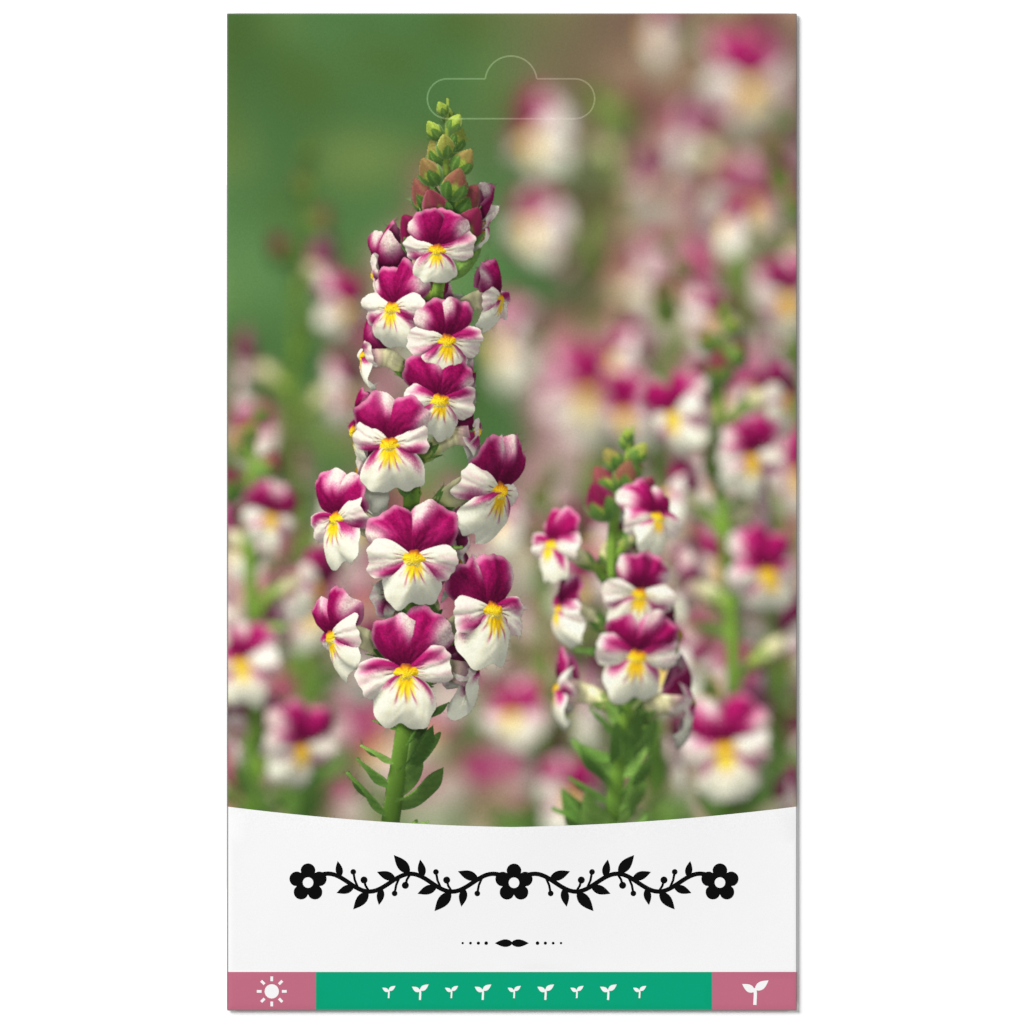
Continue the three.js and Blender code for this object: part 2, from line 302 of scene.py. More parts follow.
def setStudio():
    deselectAll()
    height = studio["viewWidth"] * studio["lens"] / studio["sensor"]
    place = (studio["viewMiddle"], 0, height + cadBox[1].z * studio["viewLevel"])
    bpy.ops.object.camera_add(location=place, rotation=(0, 0, 0))
    camera = bpy.context.object
    camera.data.lens = studio["lens"]
    camera.data.sensor_width = studio["sensor"]
    camera.data.clip_start, camera.data.clip_end = studio["clip"]
    bpy.context.scene.camera = camera
    for place, turn, width, strength in studio["suns"]:
        bpy.ops.object.light_add(type="SUN", location=place, rotation=[angle * degree for angle in turn])
        sun = bpy.context.object
        sun.data.angle = width * degree
        sun.data.energy = strength
        sun.visible_glossy = False

    world = bpy.data.worlds.new("studio")
    world.use_nodes = True
    background = world.node_tree.nodes["Background"]
    background.inputs["Color"].default_value = (1, 1, 1, 1)
    background.inputs["Strength"].default_value = studio["worldStrength"]
    bpy.context.scene.world = world
    bpy.context.scene.view_settings.view_transform = "Standard"

    deselectAll()
    bpy.ops.mesh.primitive_plane_add(size=studio["floor"], location=(0, 0, -studio["floorGap"]))
    floor = bpy.context.object
    floor.name = "floor"
    floor.data.materials.append(clearFromBelow(mottled("studio floor", studioFloor)))
    floor.visible_diffuse = False
    floor.visible_shadow = False


setStudio()
print("studio set")


# Flower spikes in front of a blurred border of the same flowers. Petals, leaves and stems are
# curved surfaces, sampled finely, lit, shaded by each other and seen from the front.

picture = {
    "low": (-41.6, -46.4),      # mm, lower left corner of the painted field, bleed included
    "high": (41.6, 71.6),
    "cell": 0.1,                # mm
    "density": 15.0,            # samples a millimetre of each surface
    "grade": (1.01, 1.01, 0.955),  # slightly warm
    "seed": 8,
}

daylight = {
    "sun": (-0.40, 0.66, 0.64),   # towards the light
    "wrap": 0.20,                 # how far it reaches round an edge
    "direct": 0.52,
    "through": 0.6,               # of what falls on a thin petal's back
    "warm": (1.04, 1.0, 0.94),
    "sky": (0.46, 0.24),          # on dark, and how much more on pale, which glows in its own shade
    "skyTint": (0.96, 0.98, 1.0),
    "fromAbove": 0.12,
    "gloss": (14, 0.07),          # power and strength
    "down": (2.5, 0.06, 0.24),    # power, and strengths in shade and light, of hairs on stems and buds
    "thick": 0.3,                 # only what lets less light through has them
    "map": (0.22, 1.6),           # shadow map's least cell in mm, and its cell in samples
    "blocked": (1.7, 0.6),        # mm behind what stands in the light, from shade to light
    "creases": (
        # strength, heights in mm between which a hollow darkens, and the reach in mm
        (0.26, 0.3, 4.5, 1.4),
        (0.20, 0.1, 1.4, 0.5),
    ),
    "creaseTone": (1.15, 0.45),   # on dark, and how much less on pale
}

inks = {
    "magenta": (0.61, 0.05, 0.38),
    "magentaDeep": (0.37, 0.01, 0.21),
    "magentaLight": (0.82, 0.31, 0.61),
    "blush": (0.94, 0.76, 0.82),
    "white": (0.97, 0.96, 0.92),
    "cream": (0.93, 0.90, 0.76),
    "yellow": (0.98, 0.82, 0.08),
    "orange": (0.92, 0.60, 0.06),
    "maroon": (0.42, 0.15, 0.24),
    "bud": (0.62, 0.70, 0.32),
    "stem": (0.52, 0.66, 0.28),
    "stemDark": (0.30, 0.44, 0.16),
    "leaf": (0.30, 0.46, 0.20),
    "leafLight": (0.56, 0.69, 0.38),
    "shade": (0.24, 0.38, 0.21),
    "grass": (0.39, 0.55, 0.34),
    "lime": (0.54, 0.60, 0.34),
    "moss": (0.31, 0.41, 0.19),
    "haze": (0.68, 0.56, 0.49),
    "rose": (0.60, 0.38, 0.40),
    "earth": (0.72, 0.54, 0.34),
}
inks = {name: np.array(color, np.float32) for name, color in inks.items()}


def patch(across, along):
    # a net of (side, along) values, from -1 to 1 and from 0 to 1
    side = np.linspace(-1, 1, max(10, int(across)), dtype=np.float32)
    length = np.linspace(0, 1, max(10, int(along)), dtype=np.float32)
    return np.meshgrid(side, length, indexing="ij")


def turned(points, yaw, pitch, roll):
    cy, sy = math.cos(yaw), math.sin(yaw)
    cp, sp = math.cos(pitch), math.sin(pitch)
    cr, sr = math.cos(roll), math.sin(roll)
    rolled = np.array([[cr, -sr, 0], [sr, cr, 0], [0, 0, 1]])
    pitched = np.array([[1, 0, 0], [0, cp, -sp], [0, sp, cp]])
    yawed = np.array([[cy, 0, sy], [0, 1, 0], [-sy, 0, cy]])
    return points @ (yawed @ pitched @ rolled).T.astype(np.float32)


def grow(plant, points, turn, at, colors, thin):
    # thin is the share of light that shines through
    plant.append((turned(points, *turn) + at, colors, thin))


def speckle(shape, key):
    # fine uneven grain, about -1 to 1, two or three samples across
    noise = np.random.default_rng(int(key * 1e6)).normal(0, 1, shape).astype(np.float32)
    for axis in (0, 1):
        noise = (noise + np.roll(noise, 1, axis) + np.roll(noise, 2, axis)) / 3
    return noise * 1.5


def petalInk(kind, s, v, phase):
    vein = 0.5 + 0.5 * np.sin(s * 26 + 1.5 * np.sin(s * 9 + phase[0]) + phase[1])
    patchy = 0.5 + 0.25 * (np.sin(s * 4.1 + v * 3 + phase[2]) + np.sin(v * 6.3 - s * 2.2 + phase[3]))
    edge = np.abs(s)
    side = 1 if phase[4] > 3.1 else -1
    velvet = speckle(s.shape, phase[0])
    if kind == "upper":
        color = mixed(inks["magenta"], inks["magentaDeep"], ease(0.75, 0.1, v) * 0.7 + 0.16 * vein)
        color = color * (1 + 0.16 * velvet)[..., None]
        color = mixed(color, inks["magentaLight"], 0.32 * ease(0.4, 1, patchy) * ease(0.35, 0.95, v))
        blaze = ease(0.50, 0.05, np.abs(s - 0.5 * side) + 0.25 * (patchy - 0.5)) * ease(0.42, 0.85, v)
        rim = ease(0.90, 1.0, v + 0.04 * patchy)
        return mixed(color, inks["white"], np.maximum(rim * 0.45, blaze * (0.85 + 0.12 * velvet)))
    if kind == "side":
        color = mixed(inks["white"], inks["cream"], ease(0.6, 0.1, v) * 0.7)
        flush = ease(0.10, 0.75, s * side + 0.5 * (patchy - 0.3) * v + 0.05 * velvet)
        color = mixed(color, inks["magenta"], flush * ease(1.05, 0.70, v) * 0.95)
        whisker = ease(0.5, 1.0, np.cos(s * 17 + phase[3])) * ease(0.14, 0.26, v) * ease(0.50, 0.34, v)
        color = mixed(color, inks["magentaDeep"], whisker * ease(0.7, 0.4, edge) * 0.5)
        return mixed(color, inks["magentaLight"], 0.18 * ease(0.3, 0.8, v) * vein)
    color = mixed(inks["white"], inks["cream"], 0.6 * vein * (1 - v))
    stripes = np.cos((s + 0.04 * np.sin(v * 9 + phase[2])) * 20)
    whisker = ease(0.45, 1.0, stripes) * ease(0.16, 0.30, v) * ease(0.62, 0.40, v)
    color = mixed(color, inks["magenta"], whisker * ease(0.75, 0.5, edge) * 0.55)
    flame = ease(0.60, 0.32, v + 0.22 * edge + 0.10 * (1 - vein))
    color = mixed(color, inks["yellow"], flame * (1 - 0.35 * whisker))
    color = mixed(color, inks["orange"], ease(0.32, 0.10, v + 0.14 * vein) * 0.7)
    rim = ease(0.62, 0.95, edge + 0.2 * (patchy - 0.5) + 0.04 * velvet)
    rim = rim * ease(0.25, 0.5, v) * ease(1.02, 0.80, v)
    return mixed(color, inks["magenta"], rim * 0.9)


petals = (
    # kind, angle, length, half span, cup, curl, ruffle, forward
    ("upper", 60, 1.02, 50, 0.16, 0.50, 1.0, -0.35),
    ("upper", 120, 1.02, 50, 0.12, 0.46, 1.0, -0.45),
    ("side", 186, 0.88, 44, 0.30, 0.46, 1.0, 0.0),
    ("side", -6, 0.88, 44, 0.30, 0.46, 1.0, 0.0),
    ("lower", 270, 1.02, 64, 0.40, 0.55, 1.4, 0.35),
)


def petal(kind, angle, length, halfSpan, cup, curl, ruffle, phase):
    fine = picture["density"] * length
    s, v = patch(fine * 3.2 * halfSpan, fine * 1.15)
    s = np.sin(s * math.pi / 2)  # closer together towards the sides, where the edge turns back
    reach = length * (1 - np.abs(s) ** 2.8 * 0.97) ** 0.5
    notch = 0.13 if kind == "lower" else 0.04
    reach = reach * (1 - notch * np.exp(-((s / 0.16) ** 2)))
    frill = np.sin(s * 5 + phase[0]) + 0.8 * np.sin(s * 10 + phase[1]) + 0.5 * np.sin(s * 21 + phase[2])
    reach = reach * (1 + 0.026 * ruffle * frill)
    theta = angle + s * halfSpan + 0.15 * v * math.sin(phase[3])
    r = v * reach
    wave = np.sin(s * 3.2 + phase[4]) + 0.7 * np.sin(s * 6.5 + phase[5]) + 0.25 * np.sin(s * 14 + phase[0])
    z = length * (cup * v - curl * v**2.4) + ruffle * 0.075 * length * v**2 * wave
    z = z - 0.06 * length * np.exp(-((s / 0.14) ** 2)) * v * (1 - v) - 0.14 * length * s**2 * v
    z = z + 0.006 * length * np.sin(s * 17 + v * 5 + phase[1]) * np.sin(v * 19 + phase[2])
    return np.stack([r * np.cos(theta), r * np.sin(theta), z], -1), petalInk(kind, s, v, phase)


def blossom(plant, at, foot, size, turn, draw):
    # the face of five petals, and the pale tube that runs back from it to its foot on the stem
    at = np.float32(at)
    fine = picture["density"] * size
    young = draw.uniform(0, 0.16)
    phases = draw.uniform(0, 6.3, 2)
    for kind, angle, length, span, cup, curl, ruffle, forward in petals:
        a, b, c, d = draw.normal(0, 1, 4)
        points, colors = petal(
            kind,
            (angle + 5 * a) * degree,
            size * length * (1 + 0.06 * b),
            span * degree,
            cup + 0.06 * c + young,
            curl + 0.09 * d,
            ruffle,
            draw.uniform(0, 6.3, 6),
        )
        points[..., 2] += forward * size / 7
        grow(plant, points, turn, at, colors, 0.55)

    # a yellow, downy hump half closes the throat
    s, v = patch(fine * 1.7, fine * 0.40)
    theta = s * math.pi
    r = v * size * 0.21 * (1 + 0.10 * np.sin(theta * 5 + phases[0]) + 0.05 * np.sin(theta * 11))
    dome = 0.17 - 0.13 * v**2 - 0.05 * np.exp(-((theta + math.pi / 2) / 0.25) ** 2) * v
    dome = dome + 0.008 * np.sin(theta * 13 + 9 * v) * np.sin(v * 17)
    hump = [r * np.cos(theta) * 1.05, r * np.sin(theta) * 0.85 - 0.05 * size, size * dome]
    speck = 0.5 + 0.5 * np.sin(theta * 7 + 20 * v + phases[1]) * np.sin(v * 15)
    under = ease(-0.1, 0.8, -np.sin(theta) * v)
    humpInk = mixed(inks["yellow"], inks["cream"], under * 0.85 + 0.25 * speck)
    humpInk = mixed(humpInk, inks["orange"], ease(0.1, 0.9, np.sin(theta) * v) * 0.85)
    humpInk = mixed(humpInk, inks["maroon"], ease(0.55, 1.0, np.sin(theta) * v) * 0.7)
    grow(plant, np.stack(hump, -1), turn, at, humpInk, 0.3)

    spine = np.array([[0, -0.08, -0.10], [0, -0.22, -0.62], [0, -0.40, -1.15]], np.float32)
    back = turned(spine * size, *turn)
    heel = at + back[2] * 0.55 + (foot - at) * 0.42
    line = curveThrough([at + back[0], at + back[1], heel], 40)
    tube = (0.30 * size, 0.24 * size, 0.22 * size, 0.12 * size)
    sweep(plant, line, tube, ("blush", "cream", "cream", "bud"), 0.5)
    stalk = curveThrough([heel, (heel + foot) / 2 - [0, 0.5, 0], foot], 30)
    sweep(plant, stalk, (0.55, 0.45, 0.5), ("stem", "stem"), 0.1)
    aim = line[-8] - heel
    yaw, pitch = math.atan2(aim[0], aim[2]), -math.asin(aim[1] / (np.linalg.norm(aim) + 1e-6))
    for k in range(5):
        long = size * draw.uniform(0.42, 0.58)
        sepal(plant, heel, long, (yaw, pitch, 0), k * 72 * degree + draw.uniform(0, 1), draw)


def sepal(plant, at, length, turn, around, draw):
    # a pointed green leaf that clasps the tube
    fine = picture["density"] * length
    s, v = patch(fine * 0.7, fine)
    w = 0.22 * length * np.abs(np.sin(math.pi * v**0.7)) ** 0.8
    out = 0.34 * length * (0.5 + 1.0 * v**1.3)
    c, d = math.cos(around), math.sin(around)
    points = np.stack([c * out - d * s * w, d * out + c * s * w, v * length], -1)
    light = 0.3 + 0.5 * draw.uniform() + 0.4 * np.exp(-((s / 0.2) ** 2))
    grow(plant, points, turn, at, mixed(inks["leaf"], inks["leafLight"], light), 0.4)


def leaf(plant, at, length, width, turn, around, lean, draw):
    fine = picture["density"] * length
    s, v = patch(fine * width * 2, fine)
    w = width * length * np.abs(np.sin(math.pi * v**0.75)) ** 0.8
    x = s * w + 0.05 * length * np.sin(v * 4 + around)
    z = 0.64 * width * length * np.abs(s) * np.sin(math.pi * v) + lean * length * v**1.5
    z = z + 0.03 * length * np.sin(v * 9 + around) * s
    c, d = math.cos(around), math.sin(around)
    points = np.stack([x * c + z * d, v * length, -x * d + z * c], -1)
    vein = 0.5 + 0.5 * np.sin(v * 34 - np.abs(s) * 9)
    colors = mixed(inks["leaf"], inks["leafLight"], 0.15 + 0.6 * draw.uniform() + 0.18 * vein)
    colors = mixed(colors, inks["leafLight"], np.exp(-((s / 0.10) ** 2)) * 0.7)
    grow(plant, points, turn, np.float32(at), colors, 0.55)


def budSurface(theta, v, size, phase, off):
    # places round a bud and up it, a share of its size off its skin
    radius = (np.abs(np.sin(math.pi * v**0.75)) ** 0.8 * 0.31 + 0.03) * size
    radius = radius * (1 + 0.12 * np.cos(theta * 3 + phase)) + off * size
    return np.stack([radius * np.cos(theta), v * size, radius * np.sin(theta) + 0.22 * size * v**2], -1)


def bud(plant, at, size, turn, ripe, draw):
    at = np.float32(at)
    fine = picture["density"] * size
    s, v = patch(fine * 2.9, fine * 1.3)
    theta = s * math.pi
    phase = draw.uniform(0, 6.3)
    points = budSurface(theta, v, size, phase, 0)
    cap = ease(0.40, 0.60, v + 0.09 * np.sin(theta * 4 + phase))
    mottle = 1 + 0.10 * speckle(s.shape, phase)
    colors = mixed(inks["bud"], inks["stem"], ease(0.35, 0.0, v)) * mottle[..., None]
    dark = mixed(inks["maroon"], inks["magenta"], 0.2 + 0.5 * np.sin(theta * 3 + phase) ** 2)
    grow(plant, points, turn, at, mixed(colors, dark, cap * ripe), 0.25)
    for k in range(5):
        # green sepals clasp its lower half
        s, v = patch(fine * 0.6, fine * 0.8)
        theta = k * 72 * degree + phase + 0.62 * s * (1 - v**2.2) ** 0.8
        points = budSurface(theta, v * 0.62, size, phase, 0.03 + 0.05 * v**3)
        light = 0.15 + 0.4 * draw.uniform() + 0.5 * np.exp(-((s / 0.16) ** 2))
        colors = mixed(inks["leaf"], inks["leafLight"], light + 0.1 * speckle(s.shape, phase + k))
        grow(plant, points, turn, at, colors, 0.25)


def sweep(plant, line, radii, names, thin):
    # a round stem along a line, with colours that follow it
    fine = picture["density"]
    steps = max(12, int(np.linalg.norm(np.diff(line, axis=0), axis=1).sum() * fine))
    t = np.linspace(0, 1, steps)
    given = np.linspace(0, 1, len(line))
    path = np.stack([np.interp(t, given, line[:, k]) for k in range(3)], -1)
    forward = np.gradient(path, axis=0)
    forward /= np.linalg.norm(forward, axis=1, keepdims=True) + 1e-9
    side = np.cross(forward, [0.11, 0.07, 1.0])
    side /= np.linalg.norm(side, axis=1, keepdims=True) + 1e-9
    top = np.cross(side, forward)
    theta = np.linspace(0, 2 * math.pi, max(12, int(max(radii) * 6.6 * fine)))[None, :, None]
    up = t[:, None, None]
    radius = np.interp(up, np.linspace(0, 1, len(radii)), radii)
    radius = radius * (1 + 0.03 * np.sin(up * 9 + radii[0] * 7))
    points = path[:, None] + radius * (side[:, None] * np.cos(theta) + top[:, None] * np.sin(theta))
    at = np.linspace(0, 1, len(names))
    table = np.array([inks[name] for name in names])
    colors = np.stack([np.interp(t, at, table[:, k]) for k in range(3)], -1)[:, None, :]
    stripe = 1 - 0.10 * (0.5 + 0.5 * np.sin(theta * 4 + up * 5)) - 0.05 * np.sin(up * 31)
    plant.append((points.astype(np.float32), (colors * stripe).astype(np.float32), thin))


def curveThrough(points, steps=200):
    # a smooth line through a few points
    points = np.array(points, np.float32)
    t = np.linspace(0, len(points) - 1, steps)
    i = np.clip(t.astype(int), 0, len(points) - 2)
    f = (t - i)[:, None]
    p = np.concatenate([points[:1] * 2 - points[1:2], points, points[-1:] * 2 - points[-2:-1]])
    a, b, c, d = p[i], p[i + 1], p[i + 2], p[i + 3]
    square, cube = 2 * a - 5 * b + 4 * c - d, 3 * b - a - 3 * c + d
    return 0.5 * (2 * b + (c - a) * f + square * f**2 + cube * f**3)


def spike(plant, line, blossoms, sizes, buds, seed):
    # blossoms spiral up a stem between two shares of its height, and give way to buds
    first, last, count = blossoms
    draw = np.random.default_rng(seed)
    path = curveThrough(line)
    here = lambda t: path[int(min(max(t, 0), 1) * (len(path) - 1))]
    thick = sizes[0] / 7.4
    radii = tuple(r * thick for r in (1.2, 1.1, 0.95, 0.7, 0.15))
    sweep(plant, path, radii, ("stemDark", "stem", "stem", "bud"), 0.1)
    azimuth = draw.uniform(0, 2 * math.pi)
    for k in range(count):
        t = first + (last - first) * (k + 0.3 * draw.uniform(-1, 1)) / (count - 1)
        size = np.interp(t, [first, last], sizes) * (1 + 0.08 * draw.normal())
        azimuth += goldenTurn + 0.3 * draw.normal()
        a = (azimuth + math.pi) % (2 * math.pi) - math.pi
        out = size * draw.uniform(1.45, 1.8)
        lift = draw.normal(0.6, 0.9)
        place = here(t) + np.array([math.sin(a) * out, lift, math.cos(a) * out], np.float32)
        turn = (a * 0.72, 0.22 + 0.14 * draw.normal(), 0.12 * draw.normal() - 0.22 * math.sin(a))
        foot = here(t - 0.02) + np.array([0, -4.2 * thick, 0], np.float32)
        blossom(plant, place, foot, size, turn, draw)
        if k % 2 == 0:
            spread = (0, 0.6, -1.2 * math.sin(a))
            leaf(plant, foot + [0, -0.5, 0], draw.uniform(4.5, 7.5) * thick, 0.15, spread, a, 0.35, draw)
    for k in range(buds):
        t = last + (1 - last) * (k + 0.6) / (buds + 0.5)
        size = sizes[1] * np.interp(k, [0, buds], [1.15, 0.34])
        azimuth += goldenTurn
        a = (azimuth + math.pi) % (2 * math.pi) - math.pi
        place = here(t) + np.array([math.sin(a), -1.6, math.cos(a)], np.float32) * size * 0.28
        ripe = np.interp(k, [0, buds * 0.75], [1, 0])
        bud(plant, place, size, (0, 0.25 * math.cos(a), -0.62 * math.sin(a)), ripe, draw)
    for k in range(int(first * 90)):
        # narrow leaves up the bare foot of the stem
        azimuth += 2.2 + 0.4 * draw.normal()
        t = first * (k + draw.uniform(0, 0.7)) / (first * 90)
        spread = (0, 0.35, -(0.3 + 0.8 * draw.uniform()) * math.sin(azimuth))
        long = draw.uniform(6, 14) * thick * (1 - 0.5 * t / first)
        leaf(plant, here(t), long, draw.uniform(0.15, 0.24), spread, azimuth, 0.30, draw)


def softened(image, radius):
    # three box blurs make one soft blur; radius in cells
    k = int(round(radius))
    for axis in (0, 1, 0, 1, 0, 1):
        n = image.shape[axis]
        pad = [(0, 0)] * image.ndim
        pad[axis] = (k + 1, k)
        total = np.cumsum(np.pad(image, pad, mode="edge"), axis=axis, dtype=np.float64)
        high = np.take(total, np.arange(2 * k + 1, 2 * k + 1 + n), axis=axis)
        low = np.take(total, np.arange(n), axis=axis)
        image = ((high - low) / (2 * k + 1)).astype(np.float32)
    return image


def defocused(image, radius):
    # a lens's blur, by a disc; radius in cells
    tall, wide = image.shape[:2]
    pad = int(radius + 2)
    y, x = np.ogrid[-pad:pad + 1, -pad:pad + 1]
    disc = ease(radius + 0.9, radius - 0.9, np.hypot(x, y)) * (0.8 + 0.2 * np.hypot(x, y) / radius)
    size = (tall + 2 * pad, wide + 2 * pad)
    padded = np.pad(image, ((pad, pad), (pad, pad), (0, 0)), mode="edge")
    spectrum = np.fft.rfft2(padded, size, axes=(0, 1)) * np.fft.rfft2(disc / disc.sum(), size)[..., None]
    return np.fft.irfft2(spectrum, size, axes=(0, 1))[2 * pad:, 2 * pad:].astype(np.float32)


def surfaceNormals(points):
    normal = np.cross(np.gradient(points, axis=0), np.gradient(points, axis=1))
    normal /= np.linalg.norm(normal, axis=-1, keepdims=True) + 1e-9
    return normal.reshape(-1, 3)


def sunlight(place, sun):
    # how much of the light each sample sees, from a map of what stands highest towards the light
    side = np.cross([0, 1, 0], sun)
    side /= np.linalg.norm(side)
    top = np.cross(sun, side)
    height = place @ sun
    least, samples = daylight["map"]
    cell = max(least, samples / picture["density"])
    a = place @ side
    b = place @ top
    ia = ((a - a.min()) / cell).astype(int) + 3
    ib = ((b - b.min()) / cell).astype(int) + 3
    rows = ib.max() + 4
    order = np.argsort(height, kind="stable")
    tallest = np.full((ia.max() + 4) * rows, -1e9, np.float32)
    tallest[(ia * rows + ib)[order]] = height[order]
    lit = np.zeros(len(height), np.float32)
    shifts = [(da, db) for da in (-2, 0, 2) for db in (-2, 0, 2)]
    for da, db in shifts:
        lit += ease(*daylight["blocked"], tallest[(ia + da) * rows + ib + db] - height)
    return lit / len(shifts)


def litColors(plant):
    # every sample's place and its colour under the light
    place = np.concatenate([points.reshape(-1, 3) for points, _, _ in plant]).astype(np.float32)
    color = np.concatenate([np.clip(colors, 0, 1).reshape(-1, 3) for _, colors, _ in plant])
    thin = np.concatenate([np.full(points.size // 3, t, np.float32) for points, _, t in plant])
    normal = np.concatenate([surfaceNormals(points) for points, _, _ in plant]).astype(np.float32)
    normal *= np.where(normal[:, 2:3] < 0, -1, 1)
    sun = np.array(daylight["sun"], np.float32)
    sun /= np.linalg.norm(sun)
    lit = sunlight(place, sun)
    cosine = normal @ sun
    wrap = daylight["wrap"]
    front = np.clip(cosine * (1 - wrap) + wrap, 0, 1) * daylight["direct"]
    direct = lit * (front + np.clip(-cosine, 0, 1) * thin * daylight["through"])
    dark, pale = daylight["sky"]
    sky = (dark + pale * color) * (1 + daylight["fromAbove"] * normal[:, 1:2])
    sky = sky * np.array(daylight["skyTint"], np.float32)
    warm = np.array(daylight["warm"], np.float32)
    half = sun + np.array([0, 0, 1], np.float32)
    half /= np.linalg.norm(half)
    power, strength = daylight["gloss"]
    gloss = np.clip(normal @ half, 0, 1) ** power * strength * lit
    power, inShade, inLight = daylight["down"]
    down = (1 - np.abs(normal[:, 2])) ** power * (thin < daylight["thick"]) * (inShade + inLight * lit)
    return place, color * (sky + direct[:, None] * warm) + (gloss + down)[:, None]


def fieldSize(cell):
    return [int(round((high - low) / cell)) for low, high in zip(picture["low"], picture["high"])]


def develop(plant, cell):
    # the plant seen from the front, as colour and cover, two fine cells a side in each cell
    place, rgb = litColors(plant)
    wide, tall = [2 * n for n in fieldSize(cell)]
    ix = ((place[:, 0] - picture["low"][0]) * 2 / cell).astype(int)
    iy = ((place[:, 1] - picture["low"][1]) * 2 / cell).astype(int)
    seen = (ix >= 0) & (ix < wide - 1) & (iy >= 0) & (iy < tall - 1)
    order = np.argsort(place[seen, 2], kind="stable")
    ix, iy, z, rgb = ix[seen][order], iy[seen][order], place[seen, 2][order], rgb[seen][order]
    image = np.zeros((tall * wide, 3), np.float32)
    depth = np.full(tall * wide, -99, np.float32)
    for dx, dy in ((1, 1), (0, 1), (1, 0), (0, 0)):  # each sample covers two by two fine cells
        index = (iy + dy) * wide + ix + dx
        source = np.full(tall * wide, -1, np.int64)
        source[index] = np.arange(len(z))
        nearer = (source >= 0) & (z[source] > depth + 0.02)
        depth[nearer] = z[source[nearer]]
        image[nearer] = rgb[source[nearer]]
    image, depth = image.reshape(tall, wide, 3), depth.reshape(tall, wide)
    cover = (depth > -98).astype(np.float32)
    solid = np.where(cover > 0, depth, -9)
    crease = 0
    for strength, low, high, reach in daylight["creases"]:
        crease = crease + strength * ease(low, high, softened(solid, reach / cell) - depth)
    onDark, less = daylight["creaseTone"]
    image = image * (1 - crease[..., None] * (onDark - less * image)) * cover[..., None]
    shrunk = lambda x: x.reshape(tall // 2, 2, wide // 2, 2, *x.shape[2:]).mean((1, 3))
    return shrunk(image), shrunk(cover)


def enlarged(image, times):
    # a coarse picture on a finer net, smoothly
    tall, wide = image.shape[:2]
    for axis, n in ((0, tall), (1, wide)):
        at = np.clip((np.arange(n * times) + 0.5) / times - 0.5, 0, n - 1.001)
        i = at.astype(int)
        f = (at - i).reshape([-1, 1, 1] if axis == 0 else [1, -1, 1]).astype(np.float32)
        image = np.take(image, i, axis) * (1 - f) + np.take(image, i + 1, axis) * f
    return image


def cloud(shape, scale, draw):
    # smooth noise from 0 to 1; scale in cells
    coarse = draw.uniform(0, 1, (int(shape[0] / scale) + 3, int(shape[1] / scale) + 3)).astype(np.float32)
    y, x = np.arange(shape[0]) / scale, np.arange(shape[1]) / scale
    iy, ix = y.astype(int), x.astype(int)
    fy, fx = ease(0, 1, y - iy)[:, None], ease(0, 1, x - ix)[None, :]
    rows = coarse[iy] * (1 - fy) + coarse[iy + 1] * fy
    return rows[:, ix] * (1 - fx) + rows[:, ix + 1] * fx


def dab(image, at, radii, color, strength):
    # one soft oval of colour; at and radii in cells
    (cx, cy), (rx, ry) = at, radii
    tall, wide = image.shape[:2]
    x0, x1 = max(0, int(cx - 1.3 * rx)), min(wide, int(cx + 1.3 * rx) + 2)
    y0, y1 = max(0, int(cy - 1.3 * ry)), min(tall, int(cy + 1.3 * ry) + 2)
    if x0 < x1 and y0 < y1:
        x = (np.arange(x0, x1)[None, :] + 0.5 - cx) / rx
        y = (np.arange(y0, y1)[:, None] + 0.5 - cy) / ry
        image[y0:y1, x0:x1] = mixed(image[y0:y1, x0:x1], color, ease(1.3, 0.7, x**2 + y**2) * strength)


garden = {
    "cell": 0.4,   # mm
    "layers": (
        # spikes, blossom size in mm, blur in mm, strength of colour, heights of the tips in mm
        (8, 4.2, 3.0, 0.70, (5, 66)),
        (8, 3.8, 2.4, 0.75, (-18, 44)),
    ),
}


